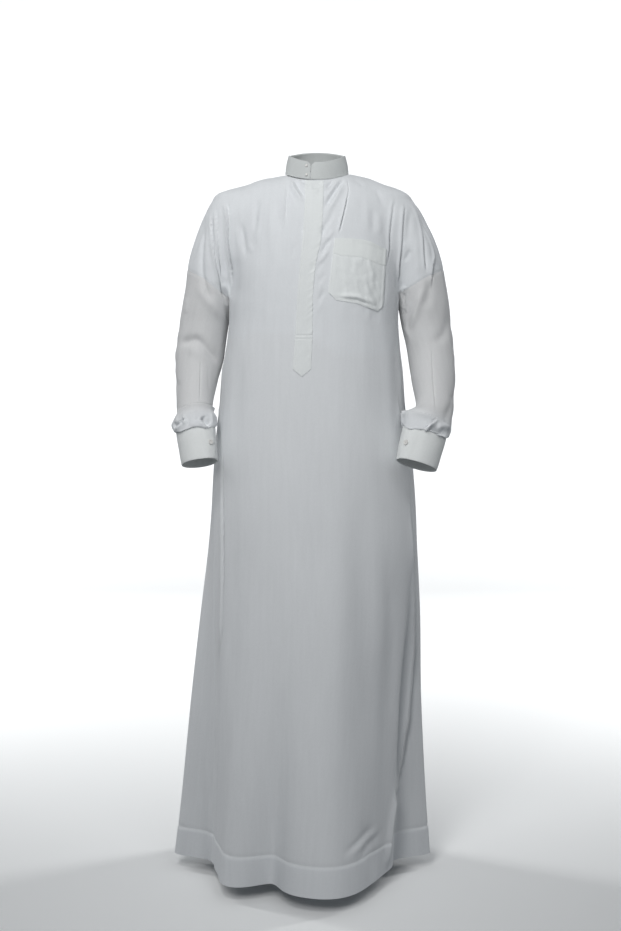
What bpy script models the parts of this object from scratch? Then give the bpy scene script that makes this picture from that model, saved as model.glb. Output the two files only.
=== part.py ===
"""Ankle-length white thobe: a hollow worn robe with a stand collar, a covered front opening and buttoned cuffs.

Metres, +Z up, the wearer faces -Y and the wearer's left is +X. The origin is the middle of the neck opening, at the
seam of the collar. The cloth is one sewn surface: the outline of the robe is a field made of the body's rings and of
the two arms, the panels are grids of points laid on that surface, and each piece is the wall between its own grid and
the same points moved inwards.
"""

import math
from typing import NamedTuple

import bpy
import numpy as np
from mathutils import Vector
from mathutils.bvhtree import BVHTree

# Cloth
WALL = 0.0016
COLLAR_WALL = 0.0024
PATCH_WALL = 0.0012
SEAM_GAP = 0.0005
PATCH_LIFT = 0.0007
HEM_EXTRA = 0.0007
SHARP_EDGE = 50

# Levels of the main seams
UNDERARM_HEIGHT = -0.268
HEM_HEIGHT = -1.390
HEM_DEPTH = 0.058
HEM_STEP = 0.004

# Underarm: half the width of the side panel's top, the levels its seam lies between, and how far its shape fades down
UNDERARM_HALF_WIDTH = 0.030
UNDERARM_HIGHEST = -0.170
UNDERARM_LOWEST = -0.340
UNDERARM_FADE = 0.160

# Shoulder: height of the sleeve's round top, and how softly the sleeve and the body join above and below the armpit
SHOULDER_CAP = 0.0225
ARMPIT_SOFTNESS = 0.028
CLEFT_SOFTNESS = 0.003
ARMPIT_LEVEL = -0.270
ARMPIT_DEPTH = 0.120

# Neck opening: half width, reach forwards and backwards, and height at the front, sides and back
NECK_HALF_WIDTH = 0.0636
NECK_FORWARD = 0.068
NECK_BACK = 0.064
NECK_FRONT_HEIGHT = -0.018
NECK_SIDE_HEIGHT = 0.002
NECK_BACK_HEIGHT = 0.018

# Collar: height, lean inwards, gap and rounding at its ends, and the angle round the neck where the ends meet
COLLAR_HEIGHT = 0.038
COLLAR_TAPER = 0.0070
COLLAR_END_GAP = 0.0006
COLLAR_ROUNDING = 6
COLLAR_CORNER = 0.006
COLLAR_DIP = 0.003
COLLAR_OPENING = 78

# Cuffs: height, swell at the middle, lap of one end over the other, and the angle round the wrist where it ends
CUFF_HEIGHT = 0.070
CUFF_TAPER = 0.0035
CUFF_SWELL = 0.0006
CUFF_LAP_DEGREES = 24
CUFF_LAP_STEP = 0.0026
CUFF_OPENING = 150

# Grid counts
FRONT_NECK_COLUMNS = 10
BACK_NECK_COLUMNS = 8
SHOULDER_COLUMNS = 9
UNDERARM_COLUMNS = 6
YOKE_ROWS = 10
SKIRT_ROWS = 18
SLEEVE_ROWS = 16
CUFF_ROWS = 3
COLLAR_ROWS = 3
COLLAR_COLUMNS = 22
SHOULDER_SAMPLES = 60
YOKE_SAMPLES = 41
LEVEL_SAMPLES = 241

# How grids are laid: share of a panel's width outside the neck, bulge of the guide lines, easing rounds, row spacing
SIDE_SHARE = 0.33
YOKE_BULGE = 0.055
YOKE_EASING = 12
SKIRT_SPACING = 1.12
SLEEVE_SPACING = 1.25
SLEEVE_TURN = 0.7


class Ring(NamedTuple):
    """One level of the body: the reach to the side, to the front and to the back, and its squareness."""

    height: float
    half_width: float
    forward: float
    back: float
    squareness: float
    centre_x: float


BODY_RINGS = (
    Ring(-1.390, 0.196, 0.202, 0.182, 2.0, -0.029),
    Ring(-1.280, 0.199, 0.194, 0.176, 2.0, -0.026),
    Ring(-1.070, 0.206, 0.180, 0.162, 2.0, -0.020),
    Ring(-0.860, 0.212, 0.167, 0.149, 2.1, -0.010),
    Ring(-0.715, 0.210, 0.157, 0.140, 2.2, -0.006),
    Ring(-0.560, 0.201, 0.146, 0.130, 2.2, -0.007),
    Ring(-0.456, 0.188, 0.137, 0.116, 2.2, -0.009),
    Ring(-0.390, 0.183, 0.132, 0.108, 2.3, -0.009),
    Ring(-0.340, 0.174, 0.129, 0.108, 2.4, -0.008),
    Ring(-0.300, 0.169, 0.127, 0.112, 2.4, -0.007),
    Ring(-0.250, 0.170, 0.126, 0.120, 2.4, -0.006),
    Ring(-0.200, 0.172, 0.123, 0.125, 2.4, -0.005),
    Ring(-0.150, 0.174, 0.117, 0.127, 2.3, -0.003),
    Ring(-0.100, 0.176, 0.107, 0.122, 2.2, -0.002),
    Ring(-0.060, 0.175, 0.094, 0.110, 2.1, -0.001),
    Ring(-0.034, 0.162, 0.080, 0.096, 2.0, 0.0),
    Ring(-0.018, 0.136, 0.068, 0.084, 2.0, 0.0),
    Ring(-0.008, 0.106, 0.056, 0.074, 2.0, 0.0),
    Ring(0.002, 0.063, 0.042, 0.062, 2.0, 0.0),
    Ring(0.018, 0.040, 0.026, 0.040, 2.0, 0.0),
)


class Station(NamedTuple):
    """One section of a sleeve: its middle, its reach to the side and to the front, its pitch and its roll."""

    outwards: float
    forward: float
    height: float
    half_width: float
    half_depth: float
    pitch: float
    roll: float


RIGHT_ARM = (
    Station(0.160, 0.000, -0.050, 0.050, 0.054, 0, 0),
    Station(0.1625, 0.000, -0.070, 0.0585, 0.061, 0, 0),
    Station(0.170, 0.000, -0.090, 0.061, 0.064, 0, 0),
    Station(0.186, 0.000, -0.130, 0.060, 0.063, 0, 0),
    Station(0.202, -0.002, -0.171, 0.056, 0.062, 0, 0),
    Station(0.2105, -0.004, -0.212, 0.0535, 0.062, 0, 0),
    Station(0.2205, -0.007, -0.252, 0.0505, 0.062, 0, 0),
    Station(0.2300, -0.010, -0.300, 0.0495, 0.061, 4, 0),
    Station(0.2375, -0.007, -0.354, 0.0500, 0.061, 12, 0),
    Station(0.2423, 0.014, -0.405, 0.0423, 0.054, 24, 0),
    Station(0.2442, 0.045, -0.456, 0.0360, 0.046, 30, 3),
    Station(0.2430, 0.057, -0.472, 0.0357, 0.0430, 28, 6),
    Station(0.2438, 0.068, -0.488, 0.0452, 0.0475, 24, 9),
    Station(0.2410, 0.0755, -0.4975, 0.0420, 0.0450, 18, 9),
    Station(0.2395, 0.080, -0.5045, 0.0390, 0.0420, 16, 8),
)
LEFT_ARM = (
    Station(0.1435, 0.000, -0.050, 0.047, 0.054, 0, 0),
    Station(0.1495, 0.000, -0.070, 0.0585, 0.061, 0, 0),
    Station(0.1565, 0.000, -0.090, 0.0615, 0.064, 0, 0),
    Station(0.176, 0.000, -0.130, 0.060, 0.063, 0, 0),
    Station(0.194, -0.002, -0.171, 0.056, 0.062, 0, 0),
    Station(0.2045, -0.004, -0.212, 0.0545, 0.062, 0, 0),
    Station(0.2145, -0.007, -0.252, 0.0520, 0.062, 0, 0),
    Station(0.2220, -0.010, -0.300, 0.0505, 0.061, 4, 0),
    Station(0.2310, -0.004, -0.354, 0.0475, 0.061, 12, 0),
    Station(0.2334, 0.020, -0.405, 0.0442, 0.054, 24, 4),
    Station(0.2333, 0.058, -0.456, 0.0378, 0.0455, 32, 9),
    Station(0.2300, 0.075, -0.472, 0.0372, 0.0430, 28, 12),
    Station(0.2125, 0.092, -0.4905, 0.0515, 0.0475, 24, 16),
    Station(0.2110, 0.100, -0.501, 0.0475, 0.0430, 18, 15),
    Station(0.2100, 0.105, -0.509, 0.0440, 0.0385, 16, 15),
)


class Outline(NamedTuple):
    """A point of the shoulder line, from the neck to the top of the sleeve seam."""

    outwards: float
    height: float


SHOULDER_LINE = (
    Outline(0.118, -0.008),
    Outline(0.160, -0.024),
    Outline(0.196, -0.042),
    Outline(0.218, -0.078),
    Outline(0.236, -0.125),
    Outline(0.2545, -0.186),
)


class Fold(NamedTuple):
    """A fold that runs down the skirt, by its angle round the body: 0 on the right, 90 in front, 180 on the left."""

    angle_at_top: float
    angle_at_hem: float
    top: float
    fullest: float
    share_at_hem: float
    spread: float
    swell: float


SKIRT_FOLDS = {
    "right wing": Fold(0, 0, -0.66, -1.390, 1.0, 7.0, 0.070),
    "left wing": Fold(180, 180, -0.72, -1.390, 1.0, 6.5, 0.068),
    "right front lobe": Fold(52, 49, -0.80, -1.390, 1.0, 12.0, 0.028),
    "front trough": Fold(74, 70, -0.98, -1.390, 1.0, 9.5, -0.033),
    "left front lobe": Fold(98, 106, -0.72, -1.390, 1.0, 22.0, 0.038),
    "left hip trough": Fold(146, 144, -0.72, -0.98, 0.2, 8.0, -0.007),
    "left deep fold": Fold(163, 165, -0.68, -1.00, 0.6, 5.0, -0.012),
    "right side fold": Fold(22, 19, -0.66, -1.05, 0.7, 6.0, -0.007),
    "back left lobe": Fold(214, 212, -0.78, -1.390, 1.0, 12.0, 0.020),
    "back left trough": Fold(236, 239, -0.86, -1.390, 1.0, 10.0, -0.024),
    "back middle lobe": Fold(262, 266, -0.66, -1.390, 1.0, 14.0, 0.026),
    "back right trough": Fold(288, 293, -0.92, -1.390, 1.0, 9.0, -0.022),
    "back right lobe": Fold(312, 318, -0.74, -1.390, 1.0, 14.0, 0.024),
}


class Crease(NamedTuple):
    """A trough (negative depth) or ridge across a sleeve, by angle round it: 0 outside, 90 in front, 180 inside."""

    angle_from: float
    height_from: float
    angle_to: float
    height_to: float
    width: float
    depth: float


RIGHT_SLEEVE_CREASES = (
    Crease(20, -0.335, 95, -0.350, 0.011, -0.0045),
    Crease(95, -0.350, 150, -0.385, 0.010, -0.0040),
    Crease(0, -0.368, 60, -0.384, 0.010, -0.0035),
    Crease(110, -0.240, 150, -0.300, 0.012, 0.0040),
    Crease(200, -0.330, 290, -0.352, 0.012, -0.0045),
    Crease(180, -0.385, 260, -0.362, 0.010, -0.0035),
    Crease(60, -0.505, 75, -0.470, 0.010, -0.0035),
    Crease(125, -0.506, 140, -0.478, 0.010, -0.0035),
    Crease(330, -0.500, 345, -0.470, 0.010, -0.0030),
    Crease(240, -0.502, 225, -0.474, 0.010, -0.0030),
)
LEFT_SLEEVE_CREASES = (
    Crease(20, -0.285, 60, -0.350, 0.012, -0.0045),
    Crease(110, -0.180, 135, -0.262, 0.013, -0.0050),
    Crease(150, -0.250, 120, -0.310, 0.010, 0.0035),
    Crease(60, -0.340, 140, -0.362, 0.010, -0.0035),
    Crease(200, -0.336, 285, -0.350, 0.012, -0.0045),
    Crease(180, -0.388, 255, -0.366, 0.010, -0.0035),
    Crease(20, -0.430, 60, -0.492, 0.011, -0.0035),
    Crease(60, -0.505, 80, -0.474, 0.010, -0.0035),
    Crease(135, -0.508, 125, -0.480, 0.010, -0.0035),
    Crease(300, -0.500, 315, -0.470, 0.010, -0.0030),
)


class SeamAngle(NamedTuple):
    """How far round from the side a panel's side seam lies, in degrees."""

    height: float
    angle: float


SIDE_SEAM = (
    SeamAngle(-1.390, 15.0),
    SeamAngle(-1.000, 18.0),
    SeamAngle(-0.700, 18.0),
    SeamAngle(-0.500, 15.0),
    SeamAngle(-0.350, 11.0),
    SeamAngle(-0.240, 9.8),
)


class Strip(NamedTuple):
    """One level of the placket: its edges on the wearer's right and left."""

    height: float
    right_edge: float
    left_edge: float


PLACKET = (
    Strip(-0.022, -0.0232, 0.0130),
    Strip(-0.060, -0.0240, 0.0120),
    Strip(-0.135, -0.0282, 0.0078),
    Strip(-0.190, -0.0335, -0.0030),
    Strip(-0.253, -0.0390, -0.0082),
    Strip(-0.325, -0.0425, -0.0092),
    Strip(-0.388, -0.0472, -0.0120),
)
PLACKET_POINT_DROP = 0.015
PLACKET_START = 0.12
PLACKET_COLUMNS = 4


class PocketEdge(NamedTuple):
    """One upright line of the pocket, by its share of the width: where it starts and ends."""

    share: float
    top_x: float
    top_height: float
    bottom_x: float
    bottom_height: float


POCKET = (
    PocketEdge(0.00, 0.0330, -0.1370, 0.0210, -0.2410),
    PocketEdge(0.14, 0.0480, -0.1368, 0.0360, -0.2555),
    PocketEdge(0.50, 0.0850, -0.1385, 0.0750, -0.2610),
    PocketEdge(0.90, 0.1250, -0.1515, 0.1175, -0.2760),
    PocketEdge(1.00, 0.1350, -0.1550, 0.1285, -0.2650),
)
POCKET_ROWS = 8
POCKET_COLUMNS = 8

# Round fasteners
STUD_RADIUS = 0.0026
STUD_HEIGHT = 0.0024
STUD_X = -0.0205
STUD_LEVELS = {"collar_stud_upper": 0.0100, "collar_stud_lower": -0.0080}
BUTTON_RADIUS = 0.0052
BUTTON_HEIGHT = 0.0024
BUTTON_SIDES = 14
BUTTON_SAG = 0.06


class Turn(NamedTuple):
    """A point of a fastener's turned profile, as shares of its radius and its height."""

    radius: float
    height: float


BUTTON_PROFILE = (
    Turn(0.86, 0.00),
    Turn(1.00, 0.35),
    Turn(0.94, 0.85),
    Turn(0.78, 1.00),
    Turn(0.55, 0.72),
)
BUTTON_MIDDLE = 0.66

WHITE_CLOTH = (0.80, 0.81, 0.80, 1.0)
STIFF_CLOTH = (0.84, 0.85, 0.84, 1.0)
PEARL = (0.86, 0.85, 0.82, 1.0)


# ---------------------------------------------------------------- smooth tables

def smooth_curve(places, values, at):
    """Monotone cubic curve through (places, values), with places rising, read at the given places."""
    places, values, at = np.asarray(places, float), np.asarray(values, float), np.asarray(at, float)
    steps = np.diff(places)
    rises = np.diff(values) / steps
    slopes = np.empty(len(places))
    slopes[0], slopes[-1] = rises[0], rises[-1]
    before, after = rises[:-1], rises[1:]
    total = np.where(before + after == 0, 1.0, before + after)
    slopes[1:-1] = np.where(before * after > 0, 2 * before * after / total, 0.0)
    cell = np.clip(np.searchsorted(places, at) - 1, 0, len(steps) - 1)
    step = steps[cell]
    part = np.clip((at - places[cell]) / step, 0.0, 1.0)
    return (
        values[cell] * (1 + 2 * part) * (1 - part) ** 2
        + values[cell + 1] * part**2 * (3 - 2 * part)
        + step * (slopes[cell] * part * (1 - part) ** 2 + slopes[cell + 1] * part**2 * (part - 1))
    )


def read_table(rows, name, at, key="height"):
    """A named column of a table at the given heights, whichever way the table's heights run."""
    rows = sorted(rows, key=lambda row: getattr(row, key))
    places = [getattr(row, key) for row in rows]
    return smooth_curve(places, [getattr(row, name) for row in rows], at)


def ease(share):
    """Smooth step from 0 to 1."""
    share = np.clip(share, 0.0, 1.0)
    return share * share * (3 - 2 * share)


def even_points(line, count):
    """count + 1 points at even distances along a line of points."""
    line = np.asarray(line, float)
    run = np.concatenate([[0.0], np.cumsum(np.linalg.norm(np.diff(line, axis=0), axis=1))])
    wanted = np.linspace(0.0, run[-1], count + 1)
    return np.stack([np.interp(wanted, run, line[:, axis]) for axis in range(3)], axis=1)


# ---------------------------------------------------------------- the robe's form

def fold_swell(angle, height):
    """How far the skirt's folds push the cloth out at an angle (degrees) and height."""
    swell = np.zeros(np.broadcast(angle, height).shape)
    for fold in SKIRT_FOLDS.values():
        fall = (fold.top - height) / (fold.top - HEM_HEIGHT)
        middle = fold.angle_at_top + (fold.angle_at_hem - fold.angle_at_top) * np.clip(fall, 0, 1)
        rise = ease((fold.top - height) / (fold.top - fold.fullest)) ** 1.2
        if fold.fullest > HEM_HEIGHT:
            fade = ease((fold.fullest - height) / (fold.fullest - HEM_HEIGHT))
            rise = rise * (1 + (fold.share_at_hem - 1) * fade)
        else:
            rise = np.clip(fall, 0, 1) ** 1.25
        away = (angle - middle + 180) % 360 - 180
        swell = swell + fold.swell * rise * np.exp(-((away / fold.spread) ** 2))
    return swell


def body_radius(angle, height):
    """Distance from the body's middle line to the cloth, at an angle in degrees and a height."""
    turn = np.radians(angle)
    side = read_table(BODY_RINGS, "half_width", height)
    front = read_table(BODY_RINGS, "forward", height)
    back = read_table(BODY_RINGS, "back", height)
    power = read_table(BODY_RINGS, "squareness", height)
    deep = np.where(np.sin(turn) > 0, front, back)
    plain = (np.abs(np.cos(turn) / side) ** power + np.abs(np.sin(turn) / deep) ** power) ** (-1 / power)
    return plain + fold_swell(angle, height)


def body_point(angle, height):
    """Point on the body of the robe at an angle in degrees and a height."""
    angle, height = np.broadcast_arrays(np.asarray(angle, float), np.asarray(height, float))
    radius = body_radius(angle, height)
    turn = np.radians(angle)
    middle = read_table(BODY_RINGS, "centre_x", height)
    return np.stack([middle - radius * np.cos(turn), -radius * np.sin(turn), height], axis=-1)


def body_field(points):
    """Signed distance, roughly, from the body's cloth: negative inside."""
    across = points[..., 0] - read_table(BODY_RINGS, "centre_x", points[..., 2])
    forward = -points[..., 1]
    angle = np.degrees(np.arctan2(forward, -across)) % 360
    return np.hypot(across, forward) - body_radius(angle, points[..., 2])


def arm_field(points, stations, side):
    """Signed distance, roughly, from the upper sleeve: level ellipses under a round shoulder."""
    top = stations[0]
    height = np.minimum(points[..., 2], top.height)
    half_width = read_table(stations, "half_width", height)
    half_depth = read_table(stations, "half_depth", height)
    across = (points[..., 0] * side - read_table(stations, "outwards", height)) / half_width
    along = (-points[..., 1] - read_table(stations, "forward", height)) / half_depth
    above = np.maximum(points[..., 2] - top.height, 0.0) / SHOULDER_CAP
    return (np.sqrt(across**2 + along**2 + above**2) - 1) * np.minimum(half_width, half_depth)


def soften(first, second, reach):
    """Smooth least of two fields, blended over a reach."""
    overlap = np.maximum(reach - np.abs(first - second), 0.0) / reach
    return np.minimum(first, second) - overlap**2 * reach / 4


def robe_field(points):
    """The body and both sleeves as one form: the cloth bridges the armpits above and parts below."""
    reach = CLEFT_SOFTNESS + ARMPIT_SOFTNESS * ease((points[..., 2] - ARMPIT_LEVEL) / ARMPIT_DEPTH)
    joined = soften(body_field(points), arm_field(points, RIGHT_ARM, -1), reach)
    return soften(joined, arm_field(points, LEFT_ARM, 1), reach)


def settle(points, rounds=7, feeler=1e-4, longest_step=0.02):
    """Move points along the field's slope until they lie on the robe's form."""
    points = np.array(points, float)
    feelers = feeler * np.eye(3)
    for _ in range(rounds):
        here = robe_field(points)
        slope = np.stack([(robe_field(points + step) - here) / feeler for step in feelers], axis=-1)
        steepness = np.maximum((slope**2).sum(axis=-1), 0.05)
        move = slope * (here / steepness)[..., None]
        size = np.linalg.norm(move, axis=-1, keepdims=True)
        points = points - move * np.minimum(1.0, longest_step / np.maximum(size, 1e-9))
    return points


# ---------------------------------------------------------------- seam lines

def neck_point(angle):
    """Point on the neck seam: 0 degrees on the right, 90 in front, 180 on the left, 270 behind."""
    turn = np.radians(angle)
    front = np.sin(turn) > 0
    lift = np.where(front, NECK_FRONT_HEIGHT, NECK_BACK_HEIGHT) - NECK_SIDE_HEIGHT
    reach = np.where(front, NECK_FORWARD, NECK_BACK)
    return np.stack(
        [
            -NECK_HALF_WIDTH * np.cos(turn),
            -reach * np.sin(turn),
            NECK_SIDE_HEIGHT + lift * np.abs(np.sin(turn)) ** 1.4,
        ],
        axis=-1,
    )


def shoulder_line(side):
    """The shoulder seam, from the neck to the top of the sleeve seam."""
    guide = [(NECK_HALF_WIDTH * side, 0.0, NECK_SIDE_HEIGHT)]
    guide += [(row.outwards * side, 0.0, row.height) for row in SHOULDER_LINE]
    dense = settle(even_points(guide, SHOULDER_SAMPLES))
    dense[:, 1] = 0.0
    start = np.array(guide[0])
    fade = (1 - np.linspace(0, 1, len(dense))[:, None]) ** 6
    dense = dense + (start - dense[0]) * fade
    return even_points(dense, SHOULDER_COLUMNS)


def side_angle(side):
    """Angle round the body of the middle of a side."""
    return 180.0 if side > 0 else 0.0


def arm_of(side):
    """The sections of a side's sleeve."""
    return LEFT_ARM if side > 0 else RIGHT_ARM


def underarm_line(side):
    """The seam over the side panel, where the sleeve and the body part, from front to back.

    Each point is midway between the body and the sleeve, at the level where the cloth that bridges them ends.
    """
    forward = np.linspace(UNDERARM_HALF_WIDTH, -UNDERARM_HALF_WIDTH, UNDERARM_COLUMNS + 1)
    body_half_width = float(read_table(BODY_RINGS, "half_width", UNDERARM_HEIGHT))
    turn = np.degrees(np.arctan2(forward, body_half_width))
    stations = arm_of(side)

    def between(height):
        body = body_point(side_angle(side) - side * turn, height)
        half_width = read_table(stations, "half_width", height)
        half_depth = read_table(stations, "half_depth", height)
        share = (forward - read_table(stations, "forward", height)) / half_depth
        inner = read_table(stations, "outwards", height) - half_width * np.sqrt(1 - share**2)
        return np.stack([(body[:, 0] + side * inner) / 2, -forward, height], axis=-1)

    high = np.full(len(forward), UNDERARM_HIGHEST)
    low = np.full(len(forward), UNDERARM_LOWEST)
    for _ in range(40):
        middle = (high + low) / 2
        inside = robe_field(between(middle)) < 0
        high = np.where(inside, middle, high)
        low = np.where(inside, low, middle)
    return between((high + low) / 2)


RIGHT_UNDERARM = underarm_line(-1)
LEFT_UNDERARM = underarm_line(1)
RIGHT_SHOULDER = shoulder_line(-1)
LEFT_SHOULDER = shoulder_line(1)


def skirt_heights():
    """Levels of the rows below the underarm, with a pair of rows at the hem's stitching."""
    share = np.linspace(0, 1, SKIRT_ROWS) ** SKIRT_SPACING
    stitched = HEM_HEIGHT + HEM_DEPTH
    down = UNDERARM_HEIGHT + (stitched + HEM_STEP - UNDERARM_HEIGHT) * share
    return np.concatenate([down, [stitched, HEM_HEIGHT + HEM_DEPTH / 2, HEM_HEIGHT]])


HEIGHTS = skirt_heights()


# ---------------------------------------------------------------- grids of the panels

def underarm_fade(height):
    """How much of the underarm's own shape is left at a height below it."""
    return float(ease(1 - (UNDERARM_HEIGHT - height) / UNDERARM_FADE)) ** 2


def panel_angles(height, front, neck_columns):
    """Angles of a panel's columns at one level, at even distances within the three parts of its width."""
    seam = float(read_table(SIDE_SEAM, "angle", height))
    first, last = (seam, 180 - seam) if front else (360 - seam, 180 + seam)
    dense = np.linspace(first, last, LEVEL_SAMPLES)
    line = body_point(dense, height)
    run = np.concatenate([[0.0], np.cumsum(np.linalg.norm(np.diff(line, axis=0), axis=1))])
    right = np.linspace(0, SIDE_SHARE, SHOULDER_COLUMNS + 1)
    middle = np.linspace(SIDE_SHARE, 1 - SIDE_SHARE, neck_columns + 1)[1:-1]
    marks = np.concatenate([right, middle, 1 - right[::-1]])
    return np.interp(marks, run / run[-1], dense)


def panel_grid(front, neck_columns):
    """Points of the front or back panel: rows from the shoulder to the hem, columns from right to left."""
    turn = np.linspace(0, 180, neck_columns + 1) if front else np.linspace(360, 180, neck_columns + 1)
    top = np.concatenate([RIGHT_SHOULDER[::-1][:-1], neck_point(turn), LEFT_SHOULDER[1:]])
    corner = 0 if front else -1
    ends = np.array([RIGHT_UNDERARM[corner], LEFT_UNDERARM[corner]])
    angles = panel_angles(UNDERARM_HEIGHT, front, neck_columns)
    bottom = body_point(angles, UNDERARM_HEIGHT)
    place = np.linspace(0, 1, len(angles))[:, None]
    pull = [(ends[0] - bottom[0]) * (1 - place) ** 5, (ends[1] - bottom[-1]) * place**5]
    bottom = bottom + pull[0] + pull[1]

    outward = np.array([0.0, -1.0 if front else 1.0, 0.0])
    share = np.linspace(0, 1, YOKE_SAMPLES)[:, None, None]
    dense = settle(top * (1 - share) + bottom * share + YOKE_BULGE * np.sin(np.pi * share) * outward)
    dense = dense + (top - dense[0]) * (1 - share) ** 6 + (bottom - dense[-1]) * share**6
    yoke = np.stack([even_points(dense[:, column], YOKE_ROWS) for column in range(dense.shape[1])], axis=1)
    yoke[0], yoke[-1] = top, bottom
    for _ in range(YOKE_EASING):
        around = yoke[:-2, 1:-1] + yoke[2:, 1:-1] + yoke[1:-1, :-2] + yoke[1:-1, 2:]
        yoke[1:-1, 1:-1] = settle(around / 4, 2)

    rows = [yoke]
    left_over = bottom - body_point(angles, UNDERARM_HEIGHT)
    for height in HEIGHTS[1:]:
        line = body_point(panel_angles(height, front, neck_columns), height)
        rows.append((line + left_over * underarm_fade(height))[None])
    return np.concatenate(rows)


def side_grid(side):
    """Points of a side panel: rows from the underarm to the hem, columns from the front seam to the back seam."""
    top = LEFT_UNDERARM if side > 0 else RIGHT_UNDERARM
    share = np.linspace(1, -1, UNDERARM_COLUMNS + 1)

    def level(height):
        seam = float(read_table(SIDE_SEAM, "angle", height))
        return body_point(side_angle(side) - side * seam * share, height)

    left_over = top - level(UNDERARM_HEIGHT)
    return np.stack([top] + [level(height) + left_over * underarm_fade(height) for height in HEIGHTS[1:]])


def section_point(stations, side, place, angle):
    """Point of a sleeve at a place along it (0 shoulder, 1 cuff) and an angle: 0 outside, 90 front, 180 inside."""
    marks = sleeve_marks(stations)
    part = {name: smooth_curve(marks, [getattr(row, name) for row in stations], place) for name in Station._fields}
    turn = np.radians(angle)
    wide, deep = part["half_width"] * np.cos(turn), part["half_depth"] * np.sin(turn)
    pitch, roll = np.radians(part["pitch"]), np.radians(part["roll"])
    x = side * (part["outwards"] + wide * np.cos(roll))
    y = -(part["forward"] + deep * np.cos(pitch))
    z = part["height"] + deep * np.sin(pitch) - wide * np.sin(roll)
    return np.stack([x, y, z], axis=-1)


def sleeve_marks(stations):
    """Places of the stations along the sleeve, as shares of its length."""
    line = np.array([(row.outwards, row.forward, row.height) for row in stations])
    run = np.concatenate([[0.0], np.cumsum(np.linalg.norm(np.diff(line, axis=0), axis=1))])
    return run / run[-1]


def crease_push(creases, angle, height, radius=0.05):
    """How far the creases of a sleeve move its cloth, at an angle and a height, on a sleeve of about that radius."""
    push = np.zeros(np.broadcast(angle, height).shape)
    for crease in creases:
        span = np.radians(crease.angle_to - crease.angle_from) * radius
        fall = crease.height_to - crease.height_from
        across = np.radians((angle - crease.angle_from + 180) % 360 - 180) * radius
        along = np.clip((across * span + (height - crease.height_from) * fall) / (span**2 + fall**2), 0, 1)
        distance = np.hypot(across - span * along, height - crease.height_from - fall * along)
        push = push + crease.depth * np.exp(-((distance / crease.width) ** 2))
    return push


def sleeve_grid(front_panel, back_panel, side):
    """Points of a sleeve: rows from its seam to the cuff, columns once round from the shoulder line by the front."""
    stations = arm_of(side)
    creases = LEFT_SLEEVE_CREASES if side > 0 else RIGHT_SLEEVE_CREASES
    column = -1 if side > 0 else 0
    under = LEFT_UNDERARM if side > 0 else RIGHT_UNDERARM
    seam = np.concatenate(
        [
            front_panel[: YOKE_ROWS + 1, column],
            under[1:-1],
            back_panel[: YOKE_ROWS + 1, column][::-1][:-1],
        ]
    )
    heights = [row.height for row in stations][::-1]
    marks = sleeve_marks(stations)[::-1]
    start = smooth_curve(heights, marks, seam[:, 2])
    middle = section_point(stations, side, start, 0.0), section_point(stations, side, start, 180.0)
    centre = (middle[0] + middle[1]) / 2
    angle = np.degrees(
        np.arctan2(
            -(seam[:, 1] - centre[:, 1]) / read_table(stations, "half_depth", seam[:, 2]),
            side * (seam[:, 0] - centre[:, 0]) / read_table(stations, "half_width", seam[:, 2]),
        )
    )
    angle = np.unwrap(angle, period=360)
    even = np.linspace(0, 360, len(seam) + 1)[:-1]
    angle = angle - 360 * round((angle - even).mean() / 360)
    left_over = seam - section_point(stations, side, start, angle)
    rows = []
    for share in np.linspace(0, 1, SLEEVE_ROWS + 1):
        place = start + (1 - start) * (1 - (1 - share) ** SLEEVE_SPACING)
        turned = angle + (even - angle) * float(ease(share / SLEEVE_TURN))
        point = section_point(stations, side, place, turned)
        push = crease_push(creases, turned, point[:, 2]) * math.sin(math.pi * share) ** 0.3
        centre = (section_point(stations, side, place, 0.0) + section_point(stations, side, place, 180.0)) / 2
        outward = (point - centre) / np.linalg.norm(point - centre, axis=1, keepdims=True)
        rows.append(point + outward * push[:, None] + left_over * (1 - share) ** 5)
    return np.stack(rows)


def cuff_grid(sleeve, side):
    """Points of a cuff: a spiral band below the sleeve's last row whose end laps over its start."""
    last = arm_of(side)[-1]
    ring = sleeve[-1]
    count = len(ring)
    centre = ring.mean(axis=0)
    pitch, roll = math.radians(last.pitch), math.radians(last.roll)
    down = np.array([-side * math.sin(roll), -math.sin(pitch) * math.cos(roll), -math.cos(pitch) * math.cos(roll)])
    lap = round(CUFF_LAP_DEGREES / 360 * count)
    first = round(count * (CUFF_OPENING - CUFF_LAP_DEGREES) / 360)
    order = [(first + step) % count for step in range(count + lap + 1)]
    climb = np.array([ease((step - (count - lap - 1)) / (lap + 1)) for step in range(count + lap + 1)])
    base = ring[order]
    outward = base - centre
    outward = outward - np.outer(outward @ down, down)
    outward = outward / np.linalg.norm(outward, axis=1, keepdims=True)
    rows = []
    for share in np.linspace(0, 1, CUFF_ROWS + 1):
        swell = CUFF_SWELL * math.sin(math.pi * share) - CUFF_TAPER * share
        rows.append(base + down * (CUFF_HEIGHT * share) + outward * (climb * CUFF_LAP_STEP + swell)[:, None])
    return np.stack(rows)


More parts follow.
